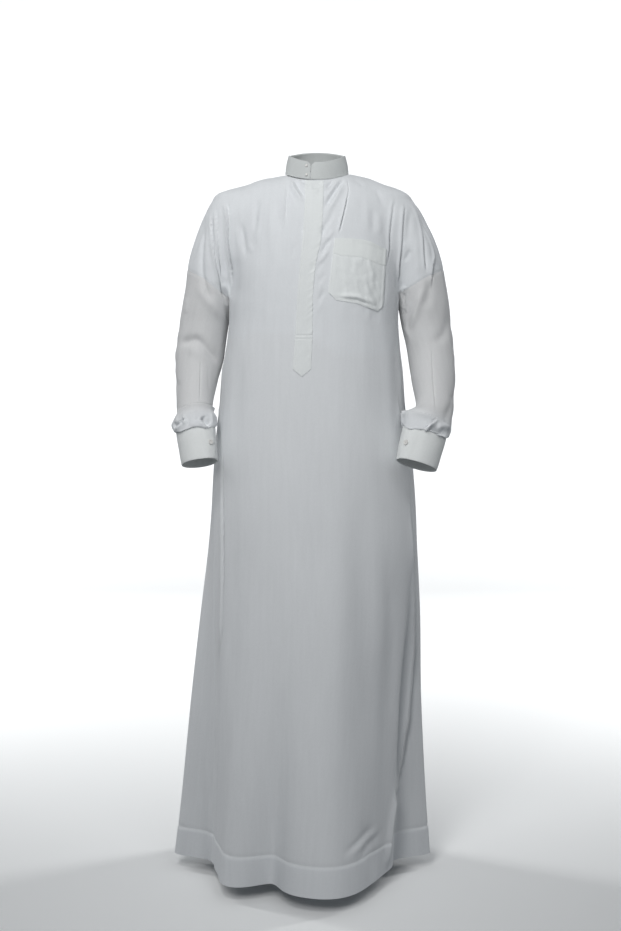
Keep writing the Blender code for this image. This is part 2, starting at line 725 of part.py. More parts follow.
def collar_grid():
    """Points of the collar: rows from the neck seam up, columns from its left end round the back to its right end."""
    gap = math.degrees(COLLAR_END_GAP / NECK_HALF_WIDTH)
    start, end = COLLAR_OPENING + gap, COLLAR_OPENING + 360 - gap
    even = np.linspace(start + COLLAR_ROUNDING, end - COLLAR_ROUNDING, COLLAR_COLUMNS + 1)
    turns = np.concatenate([[start], even, [end]])
    base = neck_point(turns % 360)
    inward = -base / np.array([NECK_HALF_WIDTH, NECK_FORWARD, 1.0])
    inward[:, 2] = 0
    inward = inward / np.linalg.norm(inward, axis=1, keepdims=True)
    tall = COLLAR_HEIGHT - COLLAR_DIP * np.maximum(np.sin(np.radians(turns)), 0) ** 2
    tall[[0, -1]] -= COLLAR_CORNER
    rows = []
    for share in np.linspace(0, 1, COLLAR_ROWS + 1):
        point = base + inward * (COLLAR_TAPER * share)
        point[:, 2] = base[:, 2] + SEAM_GAP + tall * share
        rows.append(point)
    return np.stack(rows)


# ---------------------------------------------------------------- walls and objects

def grid_faces(rows, columns, closed):
    """Quads of a grid as rows of four indexes, closed round its columns or open."""
    down, across = np.meshgrid(np.arange(rows - 1), np.arange(columns if closed else columns - 1), indexing="ij")
    here = down * columns + across
    right = down * columns + (across + 1) % columns
    return np.stack([here, right, right + columns, here + columns], axis=-1).reshape(-1, 4)


def corner_normals(points, faces):
    """Area-weighted normals of points, summed over the faces given."""
    corner = points[faces]
    face_normal = np.cross(corner[:, 2] - corner[:, 0], corner[:, 3] - corner[:, 1])
    normals = np.zeros_like(points)
    for index in range(4):
        np.add.at(normals, faces[:, index], face_normal)
    return normals


class Sheet(NamedTuple):
    """A piece of cloth: its grid of outer points, whether it closes round, which way it faces, and its wall."""

    grid: np.ndarray
    closed: bool
    flipped: bool
    wall: float


def shared_normals(sheets):
    """Normals of every sheet's points, summed over all sheets that meet at a point, so that seams match."""
    points = np.concatenate([sheet.grid.reshape(-1, 3) for sheet in sheets.values()])
    totals = []
    for sheet in sheets.values():
        rows, columns = sheet.grid.shape[:2]
        normals = corner_normals(sheet.grid.reshape(-1, 3), grid_faces(rows, columns, sheet.closed))
        totals.append(-normals if sheet.flipped else normals)
    totals = np.concatenate(totals)
    _, index = np.unique(np.round(points, 6), axis=0, return_inverse=True)
    index = index.reshape(-1)
    summed = np.zeros((index.max() + 1, 3))
    np.add.at(summed, index, totals)
    summed /= np.maximum(np.linalg.norm(summed, axis=1, keepdims=True), 1e-12)
    result, start = {}, 0
    for name, sheet in sheets.items():
        count = sheet.grid.shape[0] * sheet.grid.shape[1]
        result[name] = summed[index[start : start + count]].reshape(sheet.grid.shape)
        start += count
    return result


def draw_in(points, closed):
    """Move a grid's open edges inwards by half the seam's gap."""
    moved = points.copy()
    half = SEAM_GAP / 2

    def towards(edge, inner):
        step = inner - edge
        return step / np.linalg.norm(step, axis=-1, keepdims=True) * half

    moved[0] += towards(points[0], points[1])
    moved[-1] += towards(points[-1], points[-2])
    if not closed:
        moved[:, 0] += towards(points[:, 0], points[:, 1])
        moved[:, -1] += towards(points[:, -1], points[:, -2])
    return moved


def wall_mesh(name, outer, inner, closed, flipped):
    """Closed mesh between an outer and an inner grid. Edges that meet at a seam are split on the same diagonal."""
    rows, columns = outer.shape[:2]
    count = rows * columns
    points = np.concatenate([outer.reshape(-1, 3), inner.reshape(-1, 3)])
    skin = grid_faces(rows, columns, closed)
    faces = [tuple(face) for face in skin] + [tuple(face[::-1] + count) for face in skin]
    index = np.arange(count).reshape(rows, columns)
    around = list(range(columns)) + ([0] if closed else [])
    edges = list(zip(index[0][around[1:]], index[0][around[:-1]]))
    edges += list(zip(index[-1][around[:-1]], index[-1][around[1:]]))
    if not closed:
        edges += list(zip(index[:-1, 0], index[1:, 0])) + list(zip(index[1:, -1], index[:-1, -1]))
    for first, second in edges:
        if points[first, 2] >= points[second, 2]:
            faces += [(first, second, second + count), (first, second + count, first + count)]
        else:
            faces += [(first, second, first + count), (second, second + count, first + count)]
    if flipped:
        faces = [face[::-1] for face in faces]
    mesh = bpy.data.meshes.new(name)
    mesh.from_pydata(points.tolist(), [], [[int(corner) for corner in face] for face in faces])
    mesh.shade_smooth()
    mesh.set_sharp_from_angle(angle=math.radians(SHARP_EDGE))
    return mesh


def band_mesh(name, grid, wall, flipped):
    """Wall of a band that stands alone, from its outer grid."""
    facing = corner_normals(grid.reshape(-1, 3), grid_faces(*grid.shape[:2], False)).reshape(grid.shape)
    facing /= np.linalg.norm(facing, axis=2, keepdims=True)
    grid = draw_in(grid, False)
    return wall_mesh(name, grid, grid + facing * (wall if flipped else -wall), False, flipped)


def cloth_material(name, colour, roughness):
    """Plain principled material."""
    material = bpy.data.materials.new(name)
    material.use_nodes = True
    shader = material.node_tree.nodes["Principled BSDF"]
    shader.inputs["Base Color"].default_value = colour
    shader.inputs["Roughness"].default_value = roughness
    shader.inputs["Metallic"].default_value = 0.0
    return material


def add_object(name, mesh, colour, roughness):
    """Link a mesh into the scene as a named part with its own material."""
    mesh.materials.append(cloth_material(name + "_finish", colour, roughness))
    part = bpy.data.objects.new(name, mesh)
    bpy.context.scene.collection.objects.link(part)
    return part


def round_button(name, radius, thickness, place, facing):
    """Turned button with a rounded rim, standing at a place and facing a direction."""
    sides = BUTTON_SIDES
    turns = [2 * math.pi * step / sides for step in range(sides)]
    points = [
        (radius * row.radius * math.cos(turn), radius * row.radius * math.sin(turn), thickness * row.height)
        for row in BUTTON_PROFILE
        for turn in turns
    ]
    bottom, top = len(points), len(points) + 1
    points += [(0, 0, 0), (0, 0, thickness * BUTTON_MIDDLE)]
    faces = grid_faces(len(BUTTON_PROFILE), sides, True).tolist()
    last = bottom - sides
    for step in range(sides):
        right = (step + 1) % sides
        faces.append((bottom, right, step))
        faces.append((top, last + step, last + right))
    mesh = bpy.data.meshes.new(name)
    mesh.from_pydata(points, [], faces)
    mesh.shade_smooth()
    turn = Vector((0, 0, 1)).rotation_difference(Vector(facing)).to_matrix().to_4x4()
    mesh.transform(turn)
    button = add_object(name, mesh, PEARL, 0.3)
    button.location = place
    return button


def outer_tree(grid):
    """Search tree of a grid's outer faces."""
    faces = grid_faces(*grid.shape[:2], False)
    return BVHTree.FromPolygons(grid.reshape(-1, 3).tolist(), faces.tolist())


def patch_grids(tree, outline):
    """Lay a flat grid of (x, height) points on the front of a panel: its outer and inner points."""
    rows, columns = outline.shape[:2]
    outer, inner = np.zeros((rows, columns, 3)), np.zeros((rows, columns, 3))
    for row in range(rows):
        for column in range(columns):
            x, height = outline[row, column]
            place, normal, _, _ = tree.ray_cast(Vector((x, -1.0, height)), Vector((0, 1, 0)))
            normal = normal if normal.y < 0 else -normal
            inner[row, column] = place + normal * PATCH_LIFT
            outer[row, column] = place + normal * (PATCH_LIFT + PATCH_WALL)
    return outer, inner


def placket_grids(panel):
    """Outer and inner points of the placket, laid along the rows of the front panel and ending in a point."""
    across = np.linspace(0, 1, PLACKET_COLUMNS + 1)
    levels = [panel[row] for row in range(len(panel)) if np.interp(0.0, *panel[row].T[[0, 2]]) > PLACKET[-1].height]
    levels[0] = levels[0] + (levels[1] - levels[0]) * PLACKET_START
    levels.append(panel[len(levels)])
    rows = []
    for line in levels:
        height = np.interp(0.0, line[:, 0], line[:, 2])
        right = float(read_table(PLACKET, "right_edge", height))
        left = float(read_table(PLACKET, "left_edge", height))
        x = right + (left - right) * across
        rows.append(np.stack([x, np.interp(x, *line.T[[0, 1]]), np.interp(x, *line.T[[0, 2]])], axis=1))
    reach = (rows[-2][:, 2] - PLACKET[-1].height + PLACKET_POINT_DROP * (1 - np.abs(2 * across - 1)))[:, None]
    rows[-1] = rows[-2] + (rows[-1] - rows[-2]) * reach / (rows[-2] - rows[-1])[:, 2:]
    grid = np.stack(rows)
    facing = corner_normals(grid.reshape(-1, 3), grid_faces(*grid.shape[:2], False)).reshape(grid.shape)
    facing /= -np.linalg.norm(facing, axis=2, keepdims=True)
    return grid + facing * (PATCH_LIFT + PATCH_WALL), grid + facing * PATCH_LIFT


def pocket_outline():
    """Flat outline of the pocket, its mouth level with a fold and its lower corners cut off."""
    across = np.linspace(0, 1, POCKET_COLUMNS + 1)
    line = {name: read_table(POCKET, name, across, "share") for name in PocketEdge._fields}
    down = np.linspace(0, 1, POCKET_ROWS + 1)[:, None]
    x = line["top_x"] + (line["bottom_x"] - line["top_x"]) * down
    height = line["top_height"] + (line["bottom_height"] - line["top_height"]) * down
    return np.stack([x, height], axis=-1)


def seat_button(name, radius, thickness, tree, start, direction):
    """Stand a button on the first cloth that a line meets."""
    place, normal, _, _ = tree.ray_cast(Vector(start), Vector(direction))
    normal = normal if normal.dot(Vector(direction)) < 0 else -normal
    return round_button(name, radius, thickness, place + normal * (SEAM_GAP + radius * BUTTON_SAG), normal)


def clear_scene():
    """Remove whatever the scene holds."""
    for thing in list(bpy.data.objects):
        bpy.data.objects.remove(thing, do_unlink=True)


def main():
    clear_scene()
    front = panel_grid(True, FRONT_NECK_COLUMNS)
    back = panel_grid(False, BACK_NECK_COLUMNS)
    sleeves = {side: sleeve_grid(front, back, side) for side in (-1, 1)}
    sheets = {
        "front_panel": Sheet(front, False, True, WALL),
        "back_panel": Sheet(back, False, False, WALL),
        "side_panel_right": Sheet(side_grid(-1), False, False, WALL),
        "side_panel_left": Sheet(side_grid(1), False, True, WALL),
        "sleeve_right": Sheet(sleeves[-1], True, True, WALL),
        "sleeve_left": Sheet(sleeves[1], True, False, WALL),
    }
    normals = shared_normals(sheets)
    for name, sheet in sheets.items():
        outer = draw_in(sheet.grid, sheet.closed)
        inner = draw_in(sheet.grid - normals[name] * sheet.wall, sheet.closed)
        if "panel" in name:
            outer[-3:] += normals[name][-3:] * HEM_EXTRA
        mesh = wall_mesh(name, outer, inner, sheet.closed, sheet.flipped)
        add_object(name, mesh, WHITE_CLOTH, 0.75)

    tree = outer_tree(sheets["front_panel"].grid)
    patches = {"front_placket": placket_grids(front), "chest_pocket": patch_grids(tree, pocket_outline())}
    for name, (outer, inner) in patches.items():
        add_object(name, wall_mesh(name, outer, inner, False, True), WHITE_CLOTH, 0.75)

    grid = collar_grid()
    add_object("collar_band", band_mesh("collar_band", grid, COLLAR_WALL, False), STIFF_CLOTH, 0.7)
    tree = outer_tree(grid)
    for name, height in STUD_LEVELS.items():
        seat_button(name, STUD_RADIUS, STUD_HEIGHT, tree, (STUD_X, -1.0, height), (0, 1, 0))

    for label, side in (("right", -1), ("left", 1)):
        grid = cuff_grid(sleeves[side], side)
        mesh = band_mesh("cuff_" + label, grid, WALL, side < 0)
        add_object("cuff_" + label, mesh, STIFF_CLOTH, 0.7)
        middle = grid.mean(axis=(0, 1))
        near_end = grid[:, -2].mean(axis=0)
        away = near_end - middle
        away /= np.linalg.norm(away)
        seat_button("cuff_button_" + label, BUTTON_RADIUS, BUTTON_HEIGHT, outer_tree(grid), near_end + away, -away)


if __name__ == "__main__":
    main()
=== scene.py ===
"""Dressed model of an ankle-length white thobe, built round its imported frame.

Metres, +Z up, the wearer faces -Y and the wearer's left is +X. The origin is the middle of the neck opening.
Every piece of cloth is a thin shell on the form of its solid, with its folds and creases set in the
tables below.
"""

from __future__ import annotations

import logging
import math
from dataclasses import dataclass, field
from enum import Enum
from typing import Callable, Sequence

import bpy
import numpy as np
from bpy.types import Material, Mesh, Node, NodeSocket, NodeTree, Object
from mathutils import Matrix, Vector, noise
from mathutils.bvhtree import BVHTree
from numpy import ndarray as Array

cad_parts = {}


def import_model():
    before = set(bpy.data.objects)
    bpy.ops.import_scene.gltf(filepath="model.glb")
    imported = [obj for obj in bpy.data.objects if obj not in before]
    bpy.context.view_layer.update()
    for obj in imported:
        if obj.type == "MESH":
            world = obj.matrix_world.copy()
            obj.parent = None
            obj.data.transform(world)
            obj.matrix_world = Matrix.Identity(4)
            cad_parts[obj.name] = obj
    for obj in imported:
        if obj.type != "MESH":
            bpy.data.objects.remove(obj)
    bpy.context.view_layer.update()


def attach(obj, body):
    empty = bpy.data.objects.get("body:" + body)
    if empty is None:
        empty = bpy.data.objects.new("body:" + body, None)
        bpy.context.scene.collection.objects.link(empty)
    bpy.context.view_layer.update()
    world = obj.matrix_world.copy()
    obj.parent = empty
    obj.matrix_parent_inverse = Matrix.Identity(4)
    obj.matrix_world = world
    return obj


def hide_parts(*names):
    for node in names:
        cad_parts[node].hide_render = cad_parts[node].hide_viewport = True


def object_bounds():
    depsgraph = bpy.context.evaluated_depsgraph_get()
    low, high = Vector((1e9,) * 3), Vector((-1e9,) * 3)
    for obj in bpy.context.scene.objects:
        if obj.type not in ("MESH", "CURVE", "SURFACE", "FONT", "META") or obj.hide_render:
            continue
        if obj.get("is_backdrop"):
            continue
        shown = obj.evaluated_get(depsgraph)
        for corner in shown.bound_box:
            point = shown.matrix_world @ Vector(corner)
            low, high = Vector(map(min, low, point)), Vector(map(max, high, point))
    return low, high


LOG = logging.getLogger("thobe")
BODY = "root"
MM = 1000
TINY = 1e-12


class Side(Enum):
    """A side of the wearer, by the sign of X."""

    RIGHT = -1
    LEFT = 1

    @property
    def word(self) -> str:
        """The side's name in a piece's name."""
        return self.name.lower()


class Face(Enum):
    """Which panel of the body."""

    FRONT = "front"
    BACK = "back"


class Seen(Enum):
    """The direction a crease is laid from: its first coordinate is X, or Y when laid from a side."""

    FRONT = (0.0, 1.0)
    BACK = (0.0, -1.0)
    RIGHT = (1.0, 0.0)
    LEFT = (-1.0, 0.0)


class Shape(Enum):
    """The cross-section of a crease."""

    TROUGH = "trough"
    RIDGE = "ridge"
    TUCK = "tuck"


TROUGH, RIDGE, TUCK = Shape


# ---- tables

@dataclass(frozen=True)
class Ring:
    """One level of the body: its reach to the side, front and back, and its squareness."""

    height: float
    half_width: float
    forward: float
    back: float
    squareness: float
    centre_x: float


@dataclass(frozen=True)
class Station:
    """One section of a sleeve: its middle, its reach to the side and to the front, its pitch and its roll."""

    outwards: float
    forward: float
    height: float
    half_width: float
    half_depth: float
    pitch: float
    roll: float


@dataclass(frozen=True)
class Fold:
    """A fold that runs down the skirt, by its angle round the body: 0 right, 90 front, 180 left."""

    angle_at_top: float
    angle_at_hem: float
    top: float
    fullest: float
    share_at_hem: float
    spread: float
    swell: float


@dataclass(frozen=True)
class Crease:
    """A crease laid on the cloth: its cross-section, width and depth, where it runs and how its ends fade."""

    seen: Seen
    shape: Shape
    width: float
    depth: float
    points: tuple[tuple[float, float], ...]
    fade: float = 0.35


@dataclass(frozen=True)
class Gather:
    """A pleat above a cuff: its angle, its length in metres, its width and depth in millimetres, its lean."""

    angle: float
    length: float
    width: float
    depth: float
    lean: float = 0.0


def table(kind: type, *rows: tuple) -> tuple:
    """Records of one kind, from rows of their fields."""
    return tuple(kind(*row) for row in rows)


BODY_RINGS = table(
    Ring,
    (-1.39, 0.196, 0.202, 0.182, 2, -0.029),
    (-1.28, 0.199, 0.194, 0.176, 2, -0.026),
    (-1.07, 0.206, 0.18, 0.162, 2, -0.02),
    (-0.86, 0.212, 0.167, 0.149, 2.1, -0.01),
    (-0.715, 0.21, 0.157, 0.14, 2.2, -0.006),
    (-0.56, 0.201, 0.146, 0.13, 2.2, -0.007),
    (-0.456, 0.188, 0.137, 0.116, 2.2, -0.009),
    (-0.39, 0.183, 0.132, 0.108, 2.3, -0.009),
    (-0.34, 0.174, 0.129, 0.108, 2.4, -0.008),
    (-0.3, 0.169, 0.127, 0.112, 2.4, -0.007),
    (-0.25, 0.17, 0.126, 0.12, 2.4, -0.006),
    (-0.2, 0.172, 0.123, 0.125, 2.4, -0.005),
    (-0.15, 0.174, 0.117, 0.127, 2.3, -0.003),
    (-0.1, 0.176, 0.107, 0.122, 2.2, -0.002),
    (-0.06, 0.175, 0.094, 0.11, 2.1, -0.001),
    (-0.034, 0.162, 0.08, 0.096, 2, 0),
    (-0.018, 0.136, 0.068, 0.084, 2, 0),
    (-0.008, 0.106, 0.056, 0.074, 2, 0),
    (0.002, 0.063, 0.042, 0.062, 2, 0),
    (0.018, 0.04, 0.026, 0.04, 2, 0),
)

ARMS = {
    Side.RIGHT: table(
        Station,
        (0.16, 0, -0.05, 0.05, 0.054, 0, 0),
        (0.1625, 0, -0.07, 0.0585, 0.061, 0, 0),
        (0.17, 0, -0.09, 0.061, 0.064, 0, 0),
        (0.186, 0, -0.13, 0.06, 0.063, 0, 0),
        (0.202, -0.002, -0.171, 0.056, 0.062, 0, 0),
        (0.2105, -0.004, -0.212, 0.0535, 0.062, 0, 0),
        (0.2205, -0.007, -0.252, 0.0505, 0.062, 0, 0),
        (0.23, -0.01, -0.3, 0.0495, 0.061, 4, 0),
        (0.2375, -0.007, -0.354, 0.05, 0.061, 12, 0),
        (0.2423, 0.014, -0.405, 0.0423, 0.054, 24, 0),
        (0.2442, 0.045, -0.456, 0.036, 0.046, 30, 3),
        (0.243, 0.057, -0.472, 0.0357, 0.043, 28, 6),
        (0.2438, 0.068, -0.488, 0.0452, 0.0475, 24, 9),
        (0.241, 0.0755, -0.4975, 0.042, 0.045, 18, 9),
        (0.2395, 0.08, -0.5045, 0.039, 0.042, 16, 8),
    ),
    Side.LEFT: table(
        Station,
        (0.1435, 0, -0.05, 0.047, 0.054, 0, 0),
        (0.1495, 0, -0.07, 0.0585, 0.061, 0, 0),
        (0.1565, 0, -0.09, 0.0615, 0.064, 0, 0),
        (0.176, 0, -0.13, 0.06, 0.063, 0, 0),
        (0.194, -0.002, -0.171, 0.056, 0.062, 0, 0),
        (0.2045, -0.004, -0.212, 0.0545, 0.062, 0, 0),
        (0.2145, -0.007, -0.252, 0.052, 0.062, 0, 0),
        (0.222, -0.01, -0.3, 0.0505, 0.061, 4, 0),
        (0.231, -0.004, -0.354, 0.0475, 0.061, 12, 0),
        (0.2334, 0.02, -0.405, 0.0442, 0.054, 24, 4),
        (0.2333, 0.058, -0.456, 0.0378, 0.0455, 32, 9),
        (0.23, 0.075, -0.472, 0.0372, 0.043, 28, 12),
        (0.2125, 0.092, -0.4905, 0.0515, 0.0475, 24, 16),
        (0.211, 0.1, -0.501, 0.0475, 0.043, 18, 15),
        (0.21, 0.105, -0.509, 0.044, 0.0385, 16, 15),
    ),
}

SKIRT_FOLDS = table(
    Fold,
    (0, 0, -0.66, -1.39, 1, 7, 0.07),
    (180, 180, -0.72, -1.39, 1, 6.5, 0.068),
    (52, 49, -0.8, -1.39, 1, 12, 0.028),
    (74, 70, -0.98, -1.39, 1, 9.5, -0.033),
    (98, 106, -0.72, -1.39, 1, 22, 0.038),
    (146, 144, -0.72, -0.98, 0.2, 8, -0.007),
    (163, 165, -0.68, -1, 0.6, 5, -0.012),
    (22, 19, -0.66, -1.05, 0.7, 6, -0.007),
    (214, 212, -0.78, -1.39, 1, 12, 0.02),
    (236, 239, -0.86, -1.39, 1, 10, -0.024),
    (262, 266, -0.66, -1.39, 1, 14, 0.026),
    (288, 293, -0.92, -1.39, 1, 9, -0.022),
    (312, 318, -0.74, -1.39, 1, 14, 0.024),
)

# The shoulder seam (outwards, height), the side seam (height, degrees from the side) and the placket's edges
# (height, X)
SHOULDER_LINE = ((0.118, -0.008), (0.16, -0.024), (0.196, -0.042), (0.218, -0.078), (0.236, -0.125),
                 (0.2545, -0.186))
SIDE_SEAM = ((-1.39, 15), (-1, 18), (-0.7, 18), (-0.5, 15), (-0.35, 11), (-0.24, 9.8))
PLACKET_RIGHT = ((-0.388, -0.0472), (-0.325, -0.0425), (-0.253, -0.039), (-0.19, -0.0335), (-0.135, -0.0282),
                 (-0.06, -0.024), (-0.022, -0.0232))
PLACKET_LEFT = ((-0.388, -0.012), (-0.325, -0.0092), (-0.253, -0.0082), (-0.19, -0.003), (-0.135, 0.0078),
                (-0.06, 0.012), (-0.022, 0.013))

# Grooves and folds across the placket's tacked end: height and depth
TACKS = ((-0.3229, 0.00075), (-0.3298, 0.00060))

HEM_HEIGHT = -1.390
HEM_TOP = HEM_HEIGHT + 0.058
HEM_EXTRA = 0.0007
UNDERARM_HEIGHT = -0.268
UNDERARM_HALF_WIDTH = 0.030


def creases(seen: Seen, *rows: tuple) -> tuple[Crease, ...]:
    """Creases laid from one direction.

    Args:
        seen: the direction that all of them are laid from.
        rows: shape, width, depth, the points' coordinates by turns and, where it isn't the usual one, fade.
            Lengths are in millimetres.

    Returns:
        The creases in the rows' order.
    """
    made = []
    for shape, width, depth, places, *fade in rows:
        points = tuple((across / MM, height / MM) for across, height in zip(places[::2], places[1::2]))
        made.append(Crease(seen, shape, width / MM, depth / MM, points, *fade))
    return tuple(made)


FRONT_CREASES = creases(
    Seen.FRONT,
    # from the collar
    (RIDGE, 3.8, 2.8, (-54, -16, -43.2, -39.2, -25.7, -70), 0.25),
    (TROUGH, 4.5, 3.2, (-45.5, -16, -34, -38, -21.5, -56), 0.3),
    (TROUGH, 4.5, 2.4, (-61, -22, -51, -48, -37, -75)),
    (TUCK, 4, 1.8, (-62.6, -20, -59.8, -48.9, -61.7, -90, -62.5, -130)),
    (TROUGH, 4.5, 4.4, (51.5, -15, 44.4, -27.7, 32.8, -45, 23.1, -62.3, 13.3, -75.8), 0.2),
    (RIDGE, 4, 2.2, (43, -18, 26.9, -43.1, 14.3, -58.5)),
    (TROUGH, 4, 3.4, (34.7, -17, 25, -27.7, 17.2, -40)),
    (RIDGE, 5, 2.4, (54.2, -25.8, 42.5, -45, 28.9, -70, 13.3, -93.2)),
    (TROUGH, 5, 2.2, (36.6, -70.7, 25, -97.7, 13.3, -116.9, 8, -142)),
    (TUCK, 3.4, 1.6, (57.9, -17, 60.9, -40, 56, -63.1, 48.3, -97.7, 41.2, -126), 0.1),
    (TUCK, 3.4, 2, (58, -56, 53, -78, 47, -102, 41.2, -126), 0.14),
    (TROUGH, 7, 2, (68.3, -12, 82, -22, 95.7, -31)),
    # over and beside the placket
    (TROUGH, 4, 2.4, (-35, -20, -25, -22.5, -17, -31)),
    (TROUGH, 4.5, 2.8, (9, -21, 1, -32, -12, -38)),
    (RIDGE, 4, 1.6, (4, -41, -6, -44, -20, -40)),
    (TROUGH, 4, 1.8, (16.8, -113.6, 8.1, -132.6)),
    (RIDGE, 3.8, 1.6, (32.1, -119.3, 16.8, -144)),
    (TROUGH, 4, 2.8, (28.3, -132.6, 16.8, -149.7, 6.2, -170.6)),
    (RIDGE, 4, 2, (24.5, -155.4, 11, -174.4, 1.4, -187.8)),
    (TROUGH, 4, 1.2, (12, -179, 4, -190, -0.5, -205)),
    (TROUGH, 4, 0.9, (19, -204, 9, -213, 5, -226)),
    (RIDGE, 4, 0.7, (11, -220, 6, -230, 3, -245)),
    (TROUGH, 4, 1.3, (16.9, -233.6, 7.2, -248.9, 2.4, -260.4)),
    (RIDGE, 4, 0.8, (12, -262, 3, -270, -2, -286)),
    (TROUGH, 4, 1.2, (-6.3, -184, -11.1, -203)),
    (TROUGH, 4, 1.4, (-48, -88, -31.2, -115.5, -27.4, -128.8)),
    (TROUGH, 5, 1, (-45.7, -145, -46.2, -178)),
    (TROUGH, 6, 0.9, (-50, -210, -54, -250, -52, -290)),
    # over the chest
    (TROUGH, 5.5, 2.8, (-150.1, -95.9, -143.7, -133, -139.4, -174.5)),
    (RIDGE, 5.5, 1.4, (-159, -102.5, -152.6, -167.9)),
    (TROUGH, 6.5, 2.6, (-116.5, -46, -118.1, -80.7, -121.6, -128.6)),
    (RIDGE, 6, 1.8, (-110.4, -56, -114.9, -113.4, -118, -150)),
    (RIDGE, 5, 1.2, (-132.7, -141.7, -126.1, -163.6)),
    (TROUGH, 8, 2.2, (-78, -40, -77, -85, -76, -130)),
    (RIDGE, 9, 1.6, (-90, -60, -88, -120, -84, -190)),
    (TROUGH, 24, 3.6, (-165, -160, -161, -210, -154, -270)),
    (TROUGH, 12, 0.9, (-56, -180, -70, -240, -78, -300)),
    (TROUGH, 7, 1.6, (108, -70, 109.3, -130)),
    (TROUGH, 6, 1.6, (113, -33, 122, -50, 132.2, -76)),
    (RIDGE, 7, 1.2, (120, -80, 122, -130)),
    (TROUGH, 9, 1, (82, -42, 85, -80, 86, -120)),
    # round the pocket
    (TROUGH, 3.4, 0.7, (135.2, -190, 132.5, -235, 130.5, -268), 0.2),
    (TROUGH, 3.5, 1.6, (56, -267, 88, -270, 111.9, -281, 128.5, -270), 0.25),
    # front of the wearer's left shoulder and armpit
    (TUCK, 5.5, 2.7, (152.9, -46, 147.4, -76.6, 142.1, -120.7, 141.1, -151.6, 135.7, -191.5), 0.3),
    (TUCK, 5, 3.8, (173, -57, 168.7, -98.6, 166.7, -142.8, 162.5, -187.1, 161.5, -218.2), 0.16),
    (TROUGH, 7, 2.2, (188.6, -64, 182.1, -92, 176.7, -129.5, 175.7, -148)),
    (TROUGH, 4, 2.4, (183.5, -151.6, 172.5, -178)),
    (RIDGE, 8, 2, (196, -118, 196, -170, 200, -210)),
    (TUCK, 5, 4, (189.7, -60, 201, -87.6, 207.9, -120.7, 210.4, -160.5, 215.1, -200.4), 0.16),
    (RIDGE, 6, 2.2, (216, -125, 221, -165, 220, -205)),
    (TUCK, 6, 5, (205.5, -85, 225.9, -131.7, 232.8, -162.7, 228.5, -187.1, 226.5, -229.3), 0.25),
    (RIDGE, 7, 3, (212, -214, 197, -270, 184, -320)),
    (TROUGH, 10, 3, (224, -210, 219, -240, 213, -272)),
    (TROUGH, 5, 2.4, (182, -226, 172, -246, 165, -272)),
    (RIDGE, 5, 2, (176, -222, 166, -236)),
    # front of the wearer's right shoulder and armpit
    (TUCK, 5.5, 5.8, (-180.6, -52, -175.2, -87.6, -175.4, -131.7, -172.3, -176, -170.3, -224), 0.16),
    (TUCK, 4.5, 4.4, (-208.7, -78, -207.7, -111.9, -202.4, -164.9, -193.7, -209.3, -180, -280), 0.2),
    (TUCK, 4.5, 3.6, (-198.6, -68, -197.7, -109.7, -193.5, -164.9, -188.1, -215), 0.2),
    (TROUGH, 8, 1.6, (-187, -80, -184, -160, -179, -215)),
    (TROUGH, 5.5, 4.4, (-222.5, -96, -225.7, -142.8, -227.2, -193.7, -219, -231, -205, -262), 0.25),
    (RIDGE, 7, 1.8, (-216, -110, -218, -160, -215, -200)),
    (RIDGE, 9, 2.4, (-211, -236, -198, -262, -182, -292)),
    (RIDGE, 5, 2.2, (-187, -216, -178, -232, -170, -254)),
    (TROUGH, 5, 2.2, (-192, -226, -183, -244, -174, -262)),
    # waist and skirt
    (TROUGH, 16, 1.6, (-150, -330, -156, -450, -160, -560)),
    (TROUGH, 14, 1.8, (150, -300, 158, -400, 166, -520)),
    (RIDGE, 12, 1.2, (136, -330, 140, -430, 150, -560)),
    (TROUGH, 18, 2.8, (-163, -600, -165, -850, -166, -1060)),
    (RIDGE, 24, 2.6, (34, -560, 38, -760, 44, -960, 52, -1180)),
    (TROUGH, 26, 3.8, (86, -540, 90, -780, 98, -1000, 106, -1180)),
    (TROUGH, 16, 3.2, (134, -700, 143, -850, 150, -990, 150, -1110)),
    (RIDGE, 18, 1.6, (-30, -640, -36, -860, -46, -1080)),
    (TROUGH, 26, 1.6, (-90, -700, -96, -900, -104, -1120)),
    (TUCK, 12, 9, (185, -640, 191, -760, 195, -860, 196, -960, 189, -1080, 179, -1150, 158, -1250, 144,
     -1350, 142, -1388), 0.16),
    (TUCK, 8, 3.8, (-188, -500, -187, -760, -190, -900, -202, -1000), 0.25),
    (TROUGH, 18, 3, (85, -1250, 103, -1320, 118, -1390)),
    # above the hem
    (TROUGH, 6, 2, (43.8, -1313.3, 78.5, -1295.5, 118, -1276)),
    (RIDGE, 6, 1.8, (55.4, -1319, 90, -1303, 125, -1288)),
    (TROUGH, 6, 1.8, (78.5, -1331, 101.6, -1313, 136.2, -1298)),
)

